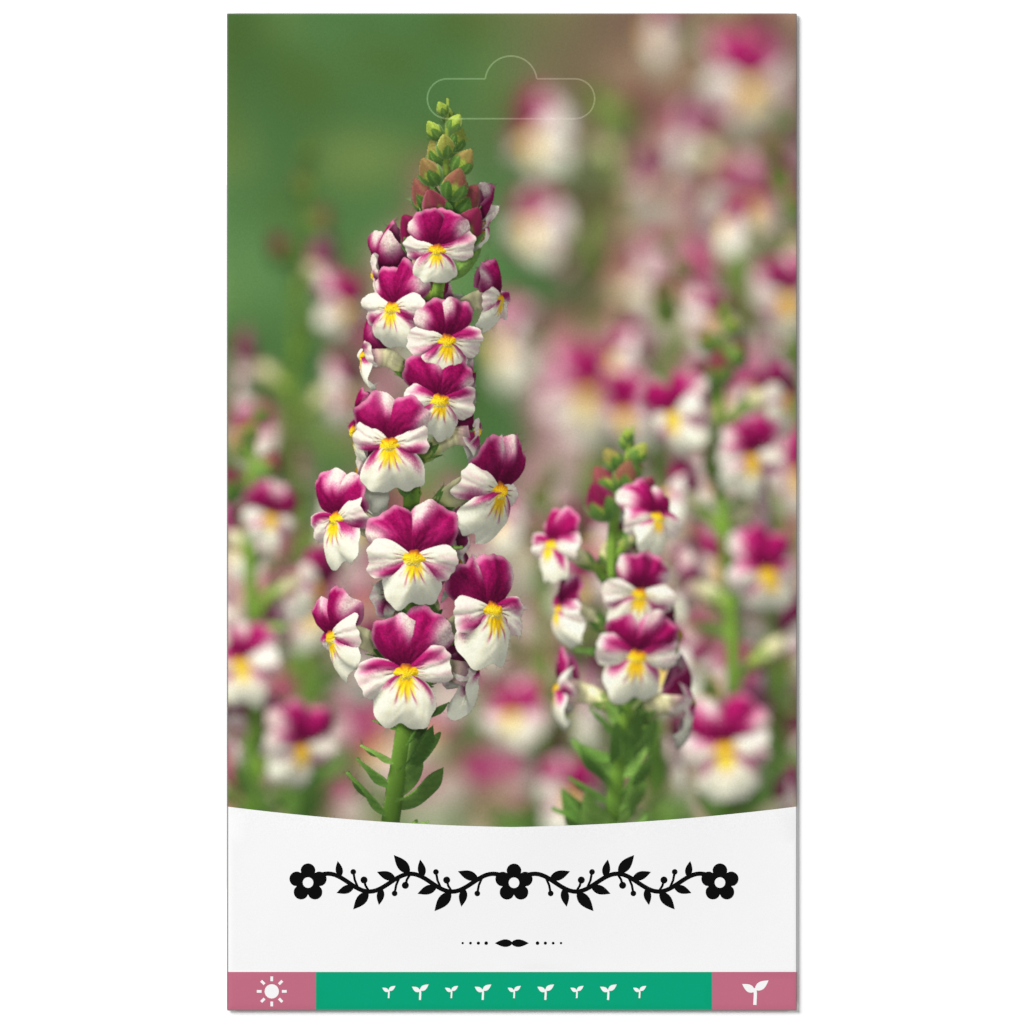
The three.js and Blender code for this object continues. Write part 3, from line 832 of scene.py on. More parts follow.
def paintGarden(draw):
    # the far part of the border, in light and not in display colours
    cell = garden["cell"]
    wide, tall = fieldSize(cell)
    shape = (tall, wide)
    low = picture["low"]
    x = low[0] + (np.arange(wide) + 0.5)[None, :] * cell
    y = low[1] + (np.arange(tall) + 0.5)[:, None] * cell
    greens = [inks[name] for name in ("shade", "grass", "lime", "moss")]
    image = mixed(greens[0], greens[1], cloud(shape, 40, draw))
    image = mixed(image, greens[2], ease(0.45, 0.9, cloud(shape, 24, draw)) * 0.6)
    image = mixed(image, greens[3], ease(0.5, 0.8, cloud(shape, 13, draw)) * 0.7)
    bright = ease(4, 42, x + 0.25 * y + 26 * (cloud(shape, 30, draw) - 0.5)) * ease(-10, 35, y)
    image = mixed(image, inks["rose"], bright * 0.65)
    image = mixed(image, inks["haze"], bright * ease(0.4, 0.9, cloud(shape, 18, draw)) * 0.7)
    image = mixed(image, inks["earth"], ease(-22, -38, x + 0 * y) * ease(14, -18, y) * 0.9)
    image = image**displayPower
    for count, size, blur, strength, tips in garden["layers"]:
        size = size / cell
        for k in range(count):
            foot = ((k + draw.uniform(-0.4, 0.4)) / (count - 1) * 92 - 46 - low[0]) / cell
            lean = draw.uniform(-0.12, 0.12)
            top = (draw.uniform(*tips) - low[1]) / cell
            pale = draw.uniform(0, 1)
            green = mixed(greens[3], greens[0], np.float32(draw.uniform(0, 1))) ** displayPower
            for row in np.arange(0, top, 4):
                dab(image, (foot + lean * row, row), (2.2, 5), green, 0.5)
                if draw.uniform() < 0.35:
                    beside = foot + lean * row + draw.normal(0, 5)
                    color = greens[draw.integers(1, 3)] ** displayPower
                    dab(image, (beside, row), (4.5, 3), color, 0.5)
            row = draw.uniform(0, 25)
            while row < top:
                s = size * np.interp(top - row, [0, 40], [0.45, 1.0]) * draw.uniform(0.75, 1.2)
                cx = foot + lean * row + draw.normal(0, size * 0.6)
                tilt = draw.normal(0, 0.35) * s
                light = np.float32(0.15 + 0.75 * pale * draw.uniform(0.3, 1))
                red = mixed(inks["magenta"], inks["magentaLight"], light) ** displayPower
                dab(image, (cx + tilt, row + s * 0.5), (s, s * 0.75), red, strength)
                flush = np.float32(draw.uniform(0, 0.6))
                white = mixed(inks["white"], inks["blush"], flush) ** displayPower
                oval = (s * 0.8, s * 0.65)
                dab(image, (cx - tilt, row - s * 0.45), oval, white, strength * draw.uniform(0.5, 1))
                if draw.uniform() < 0.5:
                    yellow = inks["yellow"] ** displayPower
                    dab(image, (cx, row), (s * 0.4, s * 0.35), yellow, strength * 0.75)
                row += size * draw.uniform(1.2, 2.2)
        image = defocused(image, blur / cell)
    return image


# spikes from the farthest to the nearest: each one's blur and how far back it stands, its stem's line,
# the first and last share of its height with blossoms and their number, the blossoms' sizes from first
# to last, the number of buds and a seed; blur, places and sizes in mm
borderSpikes = (
    (2.8, 34, ((34, -50), (32, 0), (33, 40), (31, 72)), (0.45, 0.95, 11), (7.6, 6.4), 2, 15),
    (2.8, 34, ((9, -50), (12, 0), (10, 30), (13, 60)), (0.50, 0.95, 9), (7.2, 6.0), 2, 16),
    (1.9, 26, ((38, -50), (37, -10), (39, 22), (37, 58)), (0.15, 0.85, 15), (6.6, 5.0), 4, 11),
    (1.9, 26, ((20, -50), (19, -20), (21, 10), (23, 40)), (0.25, 0.85, 12), (6.4, 4.8), 4, 12),
    (1.9, 26, ((-30, -50), (-29, -20), (-31, 12), (-28, 54)), (0.30, 0.85, 12), (6.2, 4.6), 4, 13),
    (1.9, 26, ((3, -50), (5, -30), (4, -10), (6, 8)), (0.15, 0.80, 8), (6.4, 5.0), 3, 14),
    (1.1, 18, ((30, -50), (31, -20), (29, 8), (30, 30)), (0.10, 0.80, 14), (6.8, 5.2), 6, 21),
    (1.1, 18, ((-37, -50), (-36, -25), (-37, -2), (-36, 16)), (0.15, 0.75, 10), (6.6, 5.0), 5, 33),
    (0.35, 8, ((13, -50), (16, -25), (14, -5), (17, 12)), (0.28, 0.78, 10), (6.6, 5.2), 9, 41),
    (0.0, 0, ((-18, -50), (-14, -20), (-14, 10), (-10, 34), (-9, 58)),
     (0.22, 0.80, 23), (7.8, 5.8), 17, 52),
)


def rolledOff(color, knee=0.88):
    # bright tones level off and keep their detail
    over = np.clip(color - knee, 0, None) / (1 - knee)
    return np.where(over > 0, knee + (1 - knee) * (1 - np.exp(-over)), np.clip(color, 0, None))


def paintPicture():
    image = paintGarden(np.random.default_rng(picture["seed"]))
    image = enlarged(image, 2)
    fullDensity = picture["density"]
    for blur in sorted({one[0] for one in borderSpikes}, reverse=True):
        far = blur > 0.5
        cell = picture["cell"] * (2 if far else 1)
        picture["density"] = fullDensity * (0.5 if far else 1)
        if image.shape[1] != fieldSize(cell)[0]:
            image = enlarged(image, 2)
        plant = []
        for spikeBlur, back, stem, *rest in borderSpikes:
            if spikeBlur == blur:
                spike(plant, [(x, y, -back) for x, y in stem], *rest)
        colors, cover = develop(plant, cell)
        light = rolledOff(colors) ** displayPower * (1 + 0.12 * (blur > 0))
        both = np.concatenate([light, cover[..., None]], -1)
        if blur > 0:
            both = defocused(both, blur / cell)
        image = both[..., :3] + image * (1 - both[..., 3:])
    picture["density"] = fullDensity
    return np.clip(image, 0, 1) ** (1 / displayPower) * np.array(picture["grade"], np.float32)


painted = paintPicture()
print("picture painted", painted.shape)


# It is laid out flat, printed and cut there, and then folded. Flat places are in millimetres, with the
# front panel round the origin, the back panel to its right and a glue flap on each other side.

blank = {
    "paper": 0.125,
    "frontTop": 0.5,         # height of the front panel's face at its border
    "crown": 1.4,            # the contents lift its middle by this
    "crownCentre": -10.0,
    "crownHalf": (38.5, 56.0),
    "cockle": 0.035,         # slight waves in the lifted paper
    "flapFold": 0.25,        # outer radius of the folds
    "backFold": 0.15625,
    "foldSteps": 10,
    "relief": 1.2,           # the folds stop this short of the corners
    "topFlap": 22.5,
    "bottomFlap": 15.5,
    "sideFlap": 12.5,
    "sideFlapEnds": (-53.0, 46.0),
    "taper": 5.0,
    "flapCorner": 2.0,
    "backInset": 0.9,
    "backCorner": 1.5,
    "bleed": 1.5,            # how far the print runs on past a fold
}
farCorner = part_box("envelope_blank")[1]
halfWidth, halfHeight = farCorner.x / mm, farCorner.y / mm
leftLine, rightLine = halfWidth - blank["flapFold"], halfWidth - blank["backFold"]
endLine = halfHeight - blank["flapFold"]
flapTurn, backTurn = math.pi * blank["flapFold"], math.pi * blank["backFold"]
folds = (
    # axis, side, distance of the fold's start from the middle, radius
    (0, 1, rightLine, blank["backFold"]),
    (0, -1, leftLine, blank["flapFold"]),
    (1, 1, endLine, blank["flapFold"]),
    (1, -1, endLine, blank["flapFold"]),
)
creases = (
    # painted shade along each fold: how far the print over it is mixed towards a grey tone, and that tone
    (0.38, 0.42),
    (0.95, 0.11),
    (0.50, 0.14),
    (0.45, 0.44),
)

slot = {
    "length": 23.5,
    "height": 5.6,
    "centre": (-0.12, halfHeight - 12),
    "peak": 3.65,
    "sink": 0.45,         # the peak's centre below the slot's upper side
    "cut": 0.015,
    "nick": 0.5,          # uncut bridges
    "rim": 0.22,          # width of the pale line that the punch leaves
    "backMargin": 0.7,    # the back layers are cut this much wider
    "endSteps": 19,       # points round each end and over the peak, and the pitch along the straights
    "peakSteps": 21,
    "pitch": 0.6,
    "least": 0.05,        # points of a cut stay this far from its ends
    "reach": 0.02,        # its direction is taken between points this far on either side
}


def swellAt(x, y):
    half = blank["crownHalf"]
    across = np.clip(1 - (x / half[0]) ** 2, 0, None)
    along = np.clip(1 - ((y - blank["crownCentre"]) / half[1]) ** 2, 0, None)
    return (across * along) ** 1.5


def frontFace(x, y):
    swell = swellAt(x, y)
    waves = np.sin(x * 0.31 + 1.3 * np.sin(y * 0.11)) + np.sin(y * 0.23 + 0.8 * np.sin(x * 0.17) + 2)
    return blank["frontTop"] + blank["crown"] * swell + blank["cockle"] * waves * swell * (1 - swell) * 4


def folded(flat):
    # flat places to places on the closed packet, with the paper's outward direction
    place = np.column_stack([flat, frontFace(flat[:, 0], flat[:, 1])])
    outward = np.zeros_like(place)
    outward[:, 2] = 1
    for axis, side, line, radius in folds:
        past = side * flat[:, axis] - line
        on = past > 0
        turn = np.clip(past[on] / radius, 0, math.pi)
        rest = np.clip(past[on] - math.pi * radius, 0, None)
        place[on, axis] = side * (line + radius * np.sin(turn) - rest)
        place[on, 2] = np.minimum(place[on, 2], blank["frontTop"] - radius + radius * np.cos(turn))
        outward[on, axis] = side * np.sin(turn)
        outward[on, 2] = np.minimum(outward[on, 2], np.cos(turn))
    return place, outward / np.linalg.norm(outward, axis=1, keepdims=True)


def roundedOutline(corners, steps=6):
    # a polygon whose corners are rounded by the radius given for each
    outline = []
    for i, (x, y, radius) in enumerate(corners):
        here = np.array([x, y])
        ends = []
        for other in (corners[i - 1], corners[(i + 1) % len(corners)]):
            away = np.array(other[:2]) - here
            ends.append(here + away / np.linalg.norm(away) * radius)
        if radius == 0:
            outline.append(here)
            continue
        for t in np.linspace(0, 1, steps + 1):
            outline.append(ends[0] * (1 - t) ** 2 + here * 2 * t * (1 - t) + ends[1] * t**2)
    return np.array(outline)


def halfOutline(flapEdge):
    # from the left-hand fold's foot round a glue flap to the far corner of the back panel
    root = halfWidth - blank["relief"]
    foldEnd = halfHeight - blank["relief"]
    taper, corner = blank["taper"], blank["flapCorner"]
    backEdge = rightLine + backTurn + rightLine + halfWidth - blank["backInset"]
    backEnd = halfHeight - blank["backInset"]
    # beyond the flaps the border is only turned down, as a narrow lip
    lip, backLip = flapTurn / 2, backTurn / 2
    soft, backSoft = blank["flapFold"], blank["backFold"]
    return [
        (-leftLine - lip, -endLine, 0),
        (-leftLine - soft, -endLine - soft, 0),
        (-leftLine, -endLine - lip, 0),
        (-root, -endLine - lip, 0),
        (-root, -endLine - flapTurn, 0),
        (-root + taper, -flapEdge, corner),
        (root - taper, -flapEdge, corner),
        (root, -endLine - flapTurn, 0),
        (root, -endLine - lip, 0),
        (rightLine, -endLine - lip, 0),
        (rightLine + backSoft, -endLine - soft, 0),
        (rightLine + backLip, -endLine, 0),
        (rightLine + backLip, -foldEnd, 0),
        (rightLine + backTurn, -foldEnd, 0),
        (rightLine + backTurn, -backEnd, 0),
        (backEdge, -backEnd, blank["backCorner"]),
    ]


def blankOutline():
    ends = [endLine + flapTurn + blank[flap] - blank["flapFold"] for flap in ("bottomFlap", "topFlap")]
    lower, upper = [halfOutline(end) for end in ends]
    sideStart = -leftLine - flapTurn
    sideEdge = sideStart - blank["sideFlap"] + blank["flapFold"]
    lip = -leftLine - flapTurn / 2
    lowSide, highSide = blank["sideFlapEnds"]
    sideFlap = [
        (lip, highSide, 0),
        (sideStart, highSide, 0),
        (sideEdge, highSide - blank["taper"], blank["flapCorner"]),
        (sideEdge, lowSide + blank["taper"], blank["flapCorner"]),
        (sideStart, lowSide, 0),
        (lip, lowSide, 0),
    ]
    return roundedOutline(lower + [(x, -y, radius) for x, y, radius in reversed(upper)] + sideFlap)


def denser(line, pitch):
    # points added along the straights
    made = [line[:1]]
    for a, b in zip(line[:-1], line[1:]):
        steps = math.ceil(np.linalg.norm(b - a) / pitch)
        made.append(a + (b - a) * np.linspace(0, 1, steps + 1)[1:, None])
    return np.concatenate(made)


def slotLine(margin):
    # the slot's outline round its own middle, anticlockwise, from the middle of its lower side
    radius = slot["height"] / 2 + margin
    reach = slot["length"] / 2 - slot["height"] / 2
    peakRadius = slot["peak"] + margin
    peakCentre = slot["height"] / 2 - slot["sink"]
    rise = math.asin((radius - peakCentre) / peakRadius)
    line = [(0, -radius)]
    for turn in np.linspace(-90, 90, slot["endSteps"]) * degree:
        line.append((reach + radius * math.cos(turn), radius * math.sin(turn)))
    for turn in np.linspace(rise, math.pi - rise, slot["peakSteps"]):
        line.append((peakRadius * math.cos(turn), peakCentre + peakRadius * math.sin(turn)))
    for turn in np.linspace(90, 270, slot["endSteps"]) * degree:
        line.append((-reach + radius * math.cos(turn), radius * math.sin(turn)))
    return denser(np.array(line + [(0, -radius)]), slot["pitch"])


def slotCuts(margin):
    # the narrow cuts between the bridges, as outlines round the slot's middle
    line = slotLine(margin)
    along = np.concatenate([[0], np.cumsum(np.linalg.norm(np.diff(line, axis=0), axis=1))])
    at = lambda d: np.column_stack([np.interp(d, along, line[:, k]) for k in range(2)])
    bridges = [
        slot["length"] / 4,
        along[np.argmax(line[:, 0])],
        along[np.argmax(line[:, 1])],
        along[np.argmin(line[:, 0])],
        along[-1] - slot["length"] / 4,
    ]
    cuts = []
    for i, start in enumerate(bridges):
        end = bridges[(i + 1) % len(bridges)] + (along[-1] if i == len(bridges) - 1 else 0)
        a, b = start + slot["nick"] / 2, end - slot["nick"] / 2
        inside = np.concatenate([along, along[1:] + along[-1]])
        inside = inside[(inside > a + slot["least"]) & (inside < b - slot["least"])]
        d = np.concatenate([[a], inside, [b]])
        middle = at(d % along[-1])
        forward = at((d + slot["reach"]) % along[-1]) - at((d - slot["reach"]) % along[-1])
        side = np.column_stack([forward[:, 1], -forward[:, 0]])
        side *= slot["cut"] / 2 / np.linalg.norm(side, axis=1, keepdims=True)
        cuts.append(np.concatenate([middle + side, (middle - side)[::-1]]))
    return cuts


printed = {
    "panel": (0.961, 0.961, 0.961),
    "black": (0.02, 0.02, 0.02),
    "pink": (0.753, 0.420, 0.510),
    "green": (0.004, 0.635, 0.471),
    "rule": (0.78, 0.78, 0.78),
    "paleShare": 0.25,       # how far the slot's line is lifted towards white
    "panelTop": -44.17,      # the white panel's upper edge at middle, and how much higher its ends are
    "panelRise": 2.83,
    "panelStraight": 0.22,   # share of that rise that is straight
    "barTop": -64.55,        # the coloured bars along the bottom edge
    "barSplits": (-27.5, 28.1),
    "gain": 0.87,            # share of the light that printed white gives back
}

frontLook = {
    # places from the front's middle, in mm
    "garland": (0.3, -52.0, 58, 7.4, 5),   # middle, length, size and bends
    "flowers": (-28.6, 0.3, 29.2),
    "flowerSize": 2.7,
    "eyeSize": 0.75,
    "ornament": -60.5,
    "ornamentLeaf": (2.6, 1.1),
    "dots": 4,                             # on each side of the ornament
    "firstDot": 3.6,
    "dotPitch": 1.1,
    "dotSizes": (0.26, 0.03),              # the first one's radius, and how much the next is smaller
    "sun": (-33.7, 4.2),                   # place across the bar, and size
    "sprout": (34.1, 3.8),
    "sprouts": 9,
    "sproutPitch": 4.4,
    "sproutSizes": (1.9, 2.4),
}

backLook = {
    # places from the back panel's fold and from its middle height, in mm
    "band": (3, 37.5, 63, 44.5),
    "bandGarland": (33, 41, 54, 4.6, 7),   # middle, length, size and bends
    "firstMark": (14, 27),
    "markPitch": 19,
    "markRing": (6.2, 5.7),
    "markSize": 8.2,
    "firstMonth": (4.2, 9.0),
    "monthPitch": 4.85,
    "monthBox": (4.3, 5.5),
    "monthFrames": (0.3, 0.8),             # width of the outline, and the gap round the filling
    "sowing": (2, 3, 4),
    "flowering": (5, 6, 7, 8),
    "rules": 8,
    "firstRule": (4.2, 2.0),
    "rulePitch": 4.2,
    "ruleEnds": (62, 38),                  # of a full line, and of a paragraph's last one
    "paragraph": 4,
    "ruleWidth": 0.28,
    "footGarland": (33, -40, 54, 5.4, 6),
    "footFlowers": (6, 33, 60),
    "footFlowerSize": 2.0,
    "footEyeSize": 0.6,
}


def between(x0, y0, x1, y1):
    return np.array([(x0, y0), (x1, y0), (x1, y1), (x0, y1)], float)


def disc(x, y, radius, sides=16):
    turn = np.arange(sides) * 2 * math.pi / sides
    return np.column_stack([x + radius * np.cos(turn), y + radius * np.sin(turn)])


def leafShape(x, y, angle, length, width, sides=7):
    # a pointed oval whose foot is at the place given
    t = np.linspace(0, 1, sides)
    half = width / 2 * np.sin(math.pi * t**0.8)
    upper = np.column_stack([t * length, half])
    lower = np.column_stack([t * length, -half])[1:-1][::-1]
    c, s = math.cos(angle), math.sin(angle)
    outline = np.concatenate([upper[::-1], lower[::-1]])
    return outline @ np.array([[c, s], [-s, c]]) + (x, y)


def strokeShape(line, width):
    line = np.array(line, float)
    forward = np.gradient(line, axis=0)
    side = np.column_stack([-forward[:, 1], forward[:, 0]])
    side *= width / 2 / np.linalg.norm(side, axis=1, keepdims=True)
    return np.concatenate([line - side, (line + side)[::-1]])


def flowerShape(x, y, radius, lobes=5):
    turn = np.arange(0, 60) * 2 * math.pi / 60
    r = radius * (0.62 + 0.38 * np.abs(np.cos(turn * lobes / 2)) ** 0.7)
    return np.column_stack([x + r * np.sin(turn), y + r * np.cos(turn)])[::-1]


twigs = (
    # along the bend, length and berry's radius, as shares of the garland's size; a leaf has no berry
    (-0.30, 0.38, 0),
    (0.02, 0.52, 0),
    (0.36, 0.43, 0),
    (0.0, 0.22, 0.068),
    (0.26, 0.32, 0.055),
)


def garland(x, y, length, size, bends):
    # two waving stems run out from the middle, with three leaves round each bend and berries inside it
    shapes = []
    reach = length / 2
    rise = 0.17 * size
    steep = math.pi * bends * rise / reach
    for side in (1, -1):
        at = lambda u: np.array([x + side * reach * u, y + rise * math.sin(math.pi * bends * u)])
        shapes.append(strokeShape([at(u) for u in np.linspace(0, 1, 12 * bends + 1)], 0.085 * size))
        for bend in range(bends):
            way = 1 if bend % 2 == 0 else -1
            for offset, far, berry in twigs:
                u = (bend + 0.5 + offset) / bends
                if min(u, 1 - u) * reach < 0.42 * size:
                    continue  # too near a flower
                if berry:
                    tip = at(u) + np.array([side * 0.10, -way * far]) * size
                    stalk = [at(u), at(u) * 0.5 + tip * 0.5 + (side * 0.02 * size, 0), tip]
                    shapes += [strokeShape(stalk, 0.045 * size), disc(*tip, berry * size, 14)]
                else:
                    turn = math.atan(steep * math.cos(math.pi * bends * u)) + way * 52 * degree
                    turn = turn if side > 0 else math.pi - turn
                    long = far * size * (1 - 0.2 * u)
                    shapes.append(leafShape(*at(u), turn, long, 0.44 * long, 9))
    return shapes


def sprout(x, y, size):
    stem = [(x, y - 0.5 * size), (x + 0.02 * size, y - 0.1 * size), (x, y + 0.12 * size)]
    return [
        strokeShape(stem, 0.12 * size),
        leafShape(x, y + 0.05 * size, 35 * degree, 0.62 * size, 0.30 * size),
        leafShape(x, y - 0.02 * size, 148 * degree, 0.55 * size, 0.28 * size),
    ]


def sunMark(x, y, size):
    rays = []
    for k in range(8):
        turn = k * 45 * degree
        c, s = math.cos(turn), math.sin(turn)
        ends = [(x + c * r * size, y + s * r * size) for r in (0.34, 0.42, 0.50)]
        rays.append(strokeShape(ends, 0.09 * size))
    return [disc(x, y, 0.24 * size, 20)] + rays


def drop(x, y, size):
    turn = np.linspace(0, 2 * math.pi, 24, endpoint=False)
    r = 0.30 * size
    px = r * np.sin(turn) * np.sin(turn / 2) ** 0.9
    return [np.column_stack([x + px, y + r * 1.25 * np.cos(turn)])[::-1]]


def inked(color, outlines):
    return [(outline, color) for outline in outlines]


def smallFlowers(places, y, size, eye, color):
    shapes = []
    for x in places:
        shapes += [(flowerShape(x, y, size), color), (disc(x, y, eye), "panel")]
    return shapes


def panelEdge(x):
    # the white panel's upper edge, a shallow curve that is a little straighter on each side
    t = np.abs(x) / halfWidth
    share = printed["panelStraight"]
    return printed["panelTop"] + printed["panelRise"] * (share * t + (1 - share) * t**2)


def frontPrint():
    # (outline, colour) from the bottom up; the picture's colour is None
    left, right = -leftLine - flapTurn - blank["bleed"], rightLine + backTurn + blank["bleed"]
    top, bottom = endLine + flapTurn + blank["bleed"], -endLine - flapTurn - blank["bleed"]
    x = np.linspace(left, right, 81)
    field = np.concatenate([np.column_stack([x, panelEdge(x)]), [(right, top), (left, top)]])
    split = printed["barSplits"]
    barTop = printed["barTop"]
    shapes = [
        (field, None),
        (between(left, bottom, split[0], barTop), "pink"),
        (between(split[0], bottom, split[1], barTop), "green"),
        (between(split[1], bottom, right, barTop), "pink"),
    ]
    rim = slotLine(0) + slot["centre"]
    for start, end in zip(rim[:-1], rim[1:]):
        shapes.append((strokeShape([start, end], slot["rim"]), "pale"))
    look = frontLook
    middle, height = look["garland"][:2]
    shapes += inked("black", garland(*look["garland"]))
    shapes += smallFlowers(look["flowers"], height, look["flowerSize"], look["eyeSize"], "black")
    for side, turn in ((-1, 0), (1, math.pi)):
        shapes.append((leafShape(side * 0.2, look["ornament"], turn, *look["ornamentLeaf"]), "black"))
    largest, smaller = look["dotSizes"]
    for k in range(look["dots"]):
        for side in (1, -1):
            x = side * (look["firstDot"] + look["dotPitch"] * k)
            shapes.append((disc(x, look["ornament"], largest - smaller * k, 12), "black"))
    barMiddle = (barTop - halfHeight) / 2
    x, size = look["sun"]
    shapes += inked("panel", sunMark(x, barMiddle, size))
    x, size = look["sprout"]
    shapes += inked("panel", sprout(x, barMiddle, size))
    for k in range(look["sprouts"]):
        x = middle + (k - look["sprouts"] // 2) * look["sproutPitch"]
        shapes += inked("panel", sprout(x, barMiddle, look["sproutSizes"][k % 2]))
    return shapes


def backPrint():
    start = rightLine + backTurn
    look = backLook
    left, bottom, right, top = look["band"]
    shapes = [(between(start + left, bottom, start + right, top), "green")]
    x, *rest = look["bandGarland"]
    shapes += inked("panel", garland(start + x, *rest))
    x, y = look["firstMark"]
    outer, inner = look["markRing"]
    for k, mark in enumerate((sunMark, drop, sprout)):
        middle = start + x + look["markPitch"] * k
        shapes += [(disc(middle, y, outer, 40), "green"), (disc(middle, y, inner, 40), "panel")]
        shapes += inked("green", mark(middle, y, look["markSize"]))
    x, y = look["firstMonth"]
    wide, tall = look["monthBox"]
    line, gap = look["monthFrames"]
    for k in range(12):
        at = start + x + look["monthPitch"] * k
        color = "pink" if k in look["sowing"] else "green" if k in look["flowering"] else "rule"
        for inset, ink in ((0, color), (line, "panel"), (gap, color))[:2 if color == "rule" else 3]:
            shapes.append((between(at + inset, y + inset, at + wide - inset, y + tall - inset), ink))
    x, y = look["firstRule"]
    full, last = look["ruleEnds"]
    for k in range(look["rules"]):
        height = y - look["rulePitch"] * k
        end = last if k % look["paragraph"] == look["paragraph"] - 1 else full
        shapes.append((between(start + x, height, start + end, height + look["ruleWidth"]), "rule"))
    x, y, *rest = look["footGarland"]
    shapes += inked("pink", garland(start + x, y, *rest))
    places = [start + x for x in look["footFlowers"]]
    return shapes + smallFlowers(places, y, look["footFlowerSize"], look["footEyeSize"], "pink")


sampling = {
    "points": 80000,
    "least": 1 / 160,     # of the cells
    "power": 0.7,         # of the colours' second difference
    "margin": 0.12,       # mm that points keep from the sheet's border
    "folds": 0.7,         # mm between points along the folds and across the white panel
    "panel": 1.6,
    "bareFolds": 2.8,     # and along the folds and over the contents on the paper's other side
    "bare": 2.2,
    "smooth": 32,         # degrees; sharper edges stay sharp
}


def pictureAt(flat):
    # the picture's colour at flat places
    x = (flat[:, 0] - picture["low"][0]) / picture["cell"] - 0.5
    y = (flat[:, 1] - picture["low"][1]) / picture["cell"] - 0.5
    tall, wide = painted.shape[:2]
    x, y = np.clip(x, 0, wide - 1.001), np.clip(y, 0, tall - 1.001)
    ix, iy = x.astype(int), y.astype(int)
    fx, fy = (x - ix)[:, None], (y - iy)[:, None]
    lower = painted[iy, ix] * (1 - fx) + painted[iy, ix + 1] * fx
    upper = painted[iy + 1, ix] * (1 - fx) + painted[iy + 1, ix + 1] * fx
    return lower * (1 - fy) + upper * fy


def orderedMask(levels=4):
    # thresholds that fill a square evenly at every density
    mask = np.zeros((1, 1))
    for _ in range(levels):
        mask = np.block([[4 * mask, 4 * mask + 2], [4 * mask + 3, 4 * mask + 1]])
    return (mask + 0.5) / mask.size


def onFolds(x, y, margin):
    # the curved strips, which have points of their own
    found = np.zeros(x.shape, bool)
    for axis, side, line, radius in folds:
        past = side * (x if axis == 0 else y) - line
        found |= (past > -margin) & (past < math.pi * radius + margin)
    return found


def picturePoints():
    # most points where the colours change fast
    bend = np.zeros(painted.shape[:2], np.float32)
    for axis in (0, 1):
        bend += np.abs(np.roll(painted, 1, axis) + np.roll(painted, -1, axis) - 2 * painted).sum(-1)
    weight = bend ** sampling["power"]
    tall, wide = weight.shape
    x = picture["low"][0] + (np.arange(wide) + 0.5) * picture["cell"]
    y = picture["low"][1] + (np.arange(tall) + 0.5) * picture["cell"]
    x, y = np.meshgrid(x, y)
    margin = sampling["margin"]
    bleed = blank["bleed"]
    inside = (x > -leftLine - flapTurn - bleed) & (x < rightLine + backTurn + bleed - margin)
    inside &= (y < endLine + flapTurn + bleed - margin) & ~onFolds(x, y, margin)
    inside &= y > panelEdge(x) + margin
    weight = weight * inside
    lowScale, highScale = 0.0, 100.0
    for _ in range(30):
        scale = (lowScale + highScale) / 2
        total = np.clip(weight * scale, sampling["least"], 1)[inside].sum()
        lowScale, highScale = (scale, highScale) if total < sampling["points"] else (lowScale, scale)
    mask = np.tile(orderedMask(), (tall // 16 + 1, wide // 16 + 1))[:tall, :wide]
    chosen = inside & (np.clip(weight * scale, sampling["least"], 1) > mask)
    return np.column_stack([x[chosen], y[chosen]])


class Net:
    # points, lines and areas of the flat sheet, to be cut into triangles together
    def __init__(self):
        self.points, self.edges, self.areas, self.kinds = [], [], [], []
        self.count = 0

    def add(self, points):
        first = self.count
        self.points.append(np.asarray(points, float))
        self.count += len(points)
        return list(range(first, self.count))

    def line(self, points):
        ids = self.add(points)
        self.edges += list(zip(ids[:-1], ids[1:]))

    def area(self, outline, kind):
        x, y = outline[:, 0], outline[:, 1]
        if (x * np.roll(y, -1) - y * np.roll(x, -1)).sum() < 0:
            outline = outline[::-1]
        self.areas.append(self.add(outline))
        self.kinds.append(kind)

    def cut(self):
        # places, triangles, each place's points and each triangle's areas
        points = np.concatenate(self.points).tolist()
        made = delaunay_2d_cdt(points, self.edges, self.areas, 0, 1e-6, True)
        return np.array([(v[0], v[1]) for v in made[0]]), np.array(made[2]), made[3], made[5]


def foldLines(pitch):
    # lines along each fold, one at each step of its turn, of which the first half runs from corner
    # to corner
    lines = []
    foldEnd = halfHeight - blank["relief"]
    root = halfWidth - blank["relief"]
    spans = ((-foldEnd, foldEnd), blank["sideFlapEnds"], (-root, root), (-root, root))
    ends = [place + flapTurn / 2 for place in (endLine, endLine, leftLine, leftLine)]
    for (axis, side, line, radius), span, end in zip(folds, spans, ends):
        for turn in np.linspace(0, math.pi, blank["foldSteps"] + 1):
            start, stop = span if turn > math.pi / 2 + 0.01 else (-end, end)
            along = np.linspace(start, stop, int((stop - start) / pitch) + 1)
            across = np.full_like(along, side * (line + radius * turn))
            lines.append(np.column_stack([across, along] if axis == 0 else [along, across]))
    return lines


def slotOutlines():
    # (cuts of the front panel, of the back panel, of the top flap), in flat places
    x, y = slot["centre"]
    outlines = [cut + (x, y) for cut in slotCuts(0)]
    backMiddle = rightLine + backTurn + rightLine - x
    outlines += [cut + (backMiddle, y) for cut in slotCuts(slot["backMargin"])]
    flapMiddle = endLine + flapTurn + endLine - y
    return outlines + [cut * (1, -1) + (x, flapMiddle) for cut in slotCuts(slot["backMargin"])]


def gridPoints(x0, y0, x1, y1, pitch):
    x, y = np.meshgrid(np.arange(x0 + pitch / 2, x1, pitch), np.arange(y0 + pitch / 2, y1, pitch))
    return np.column_stack([x.ravel(), y.ravel()])


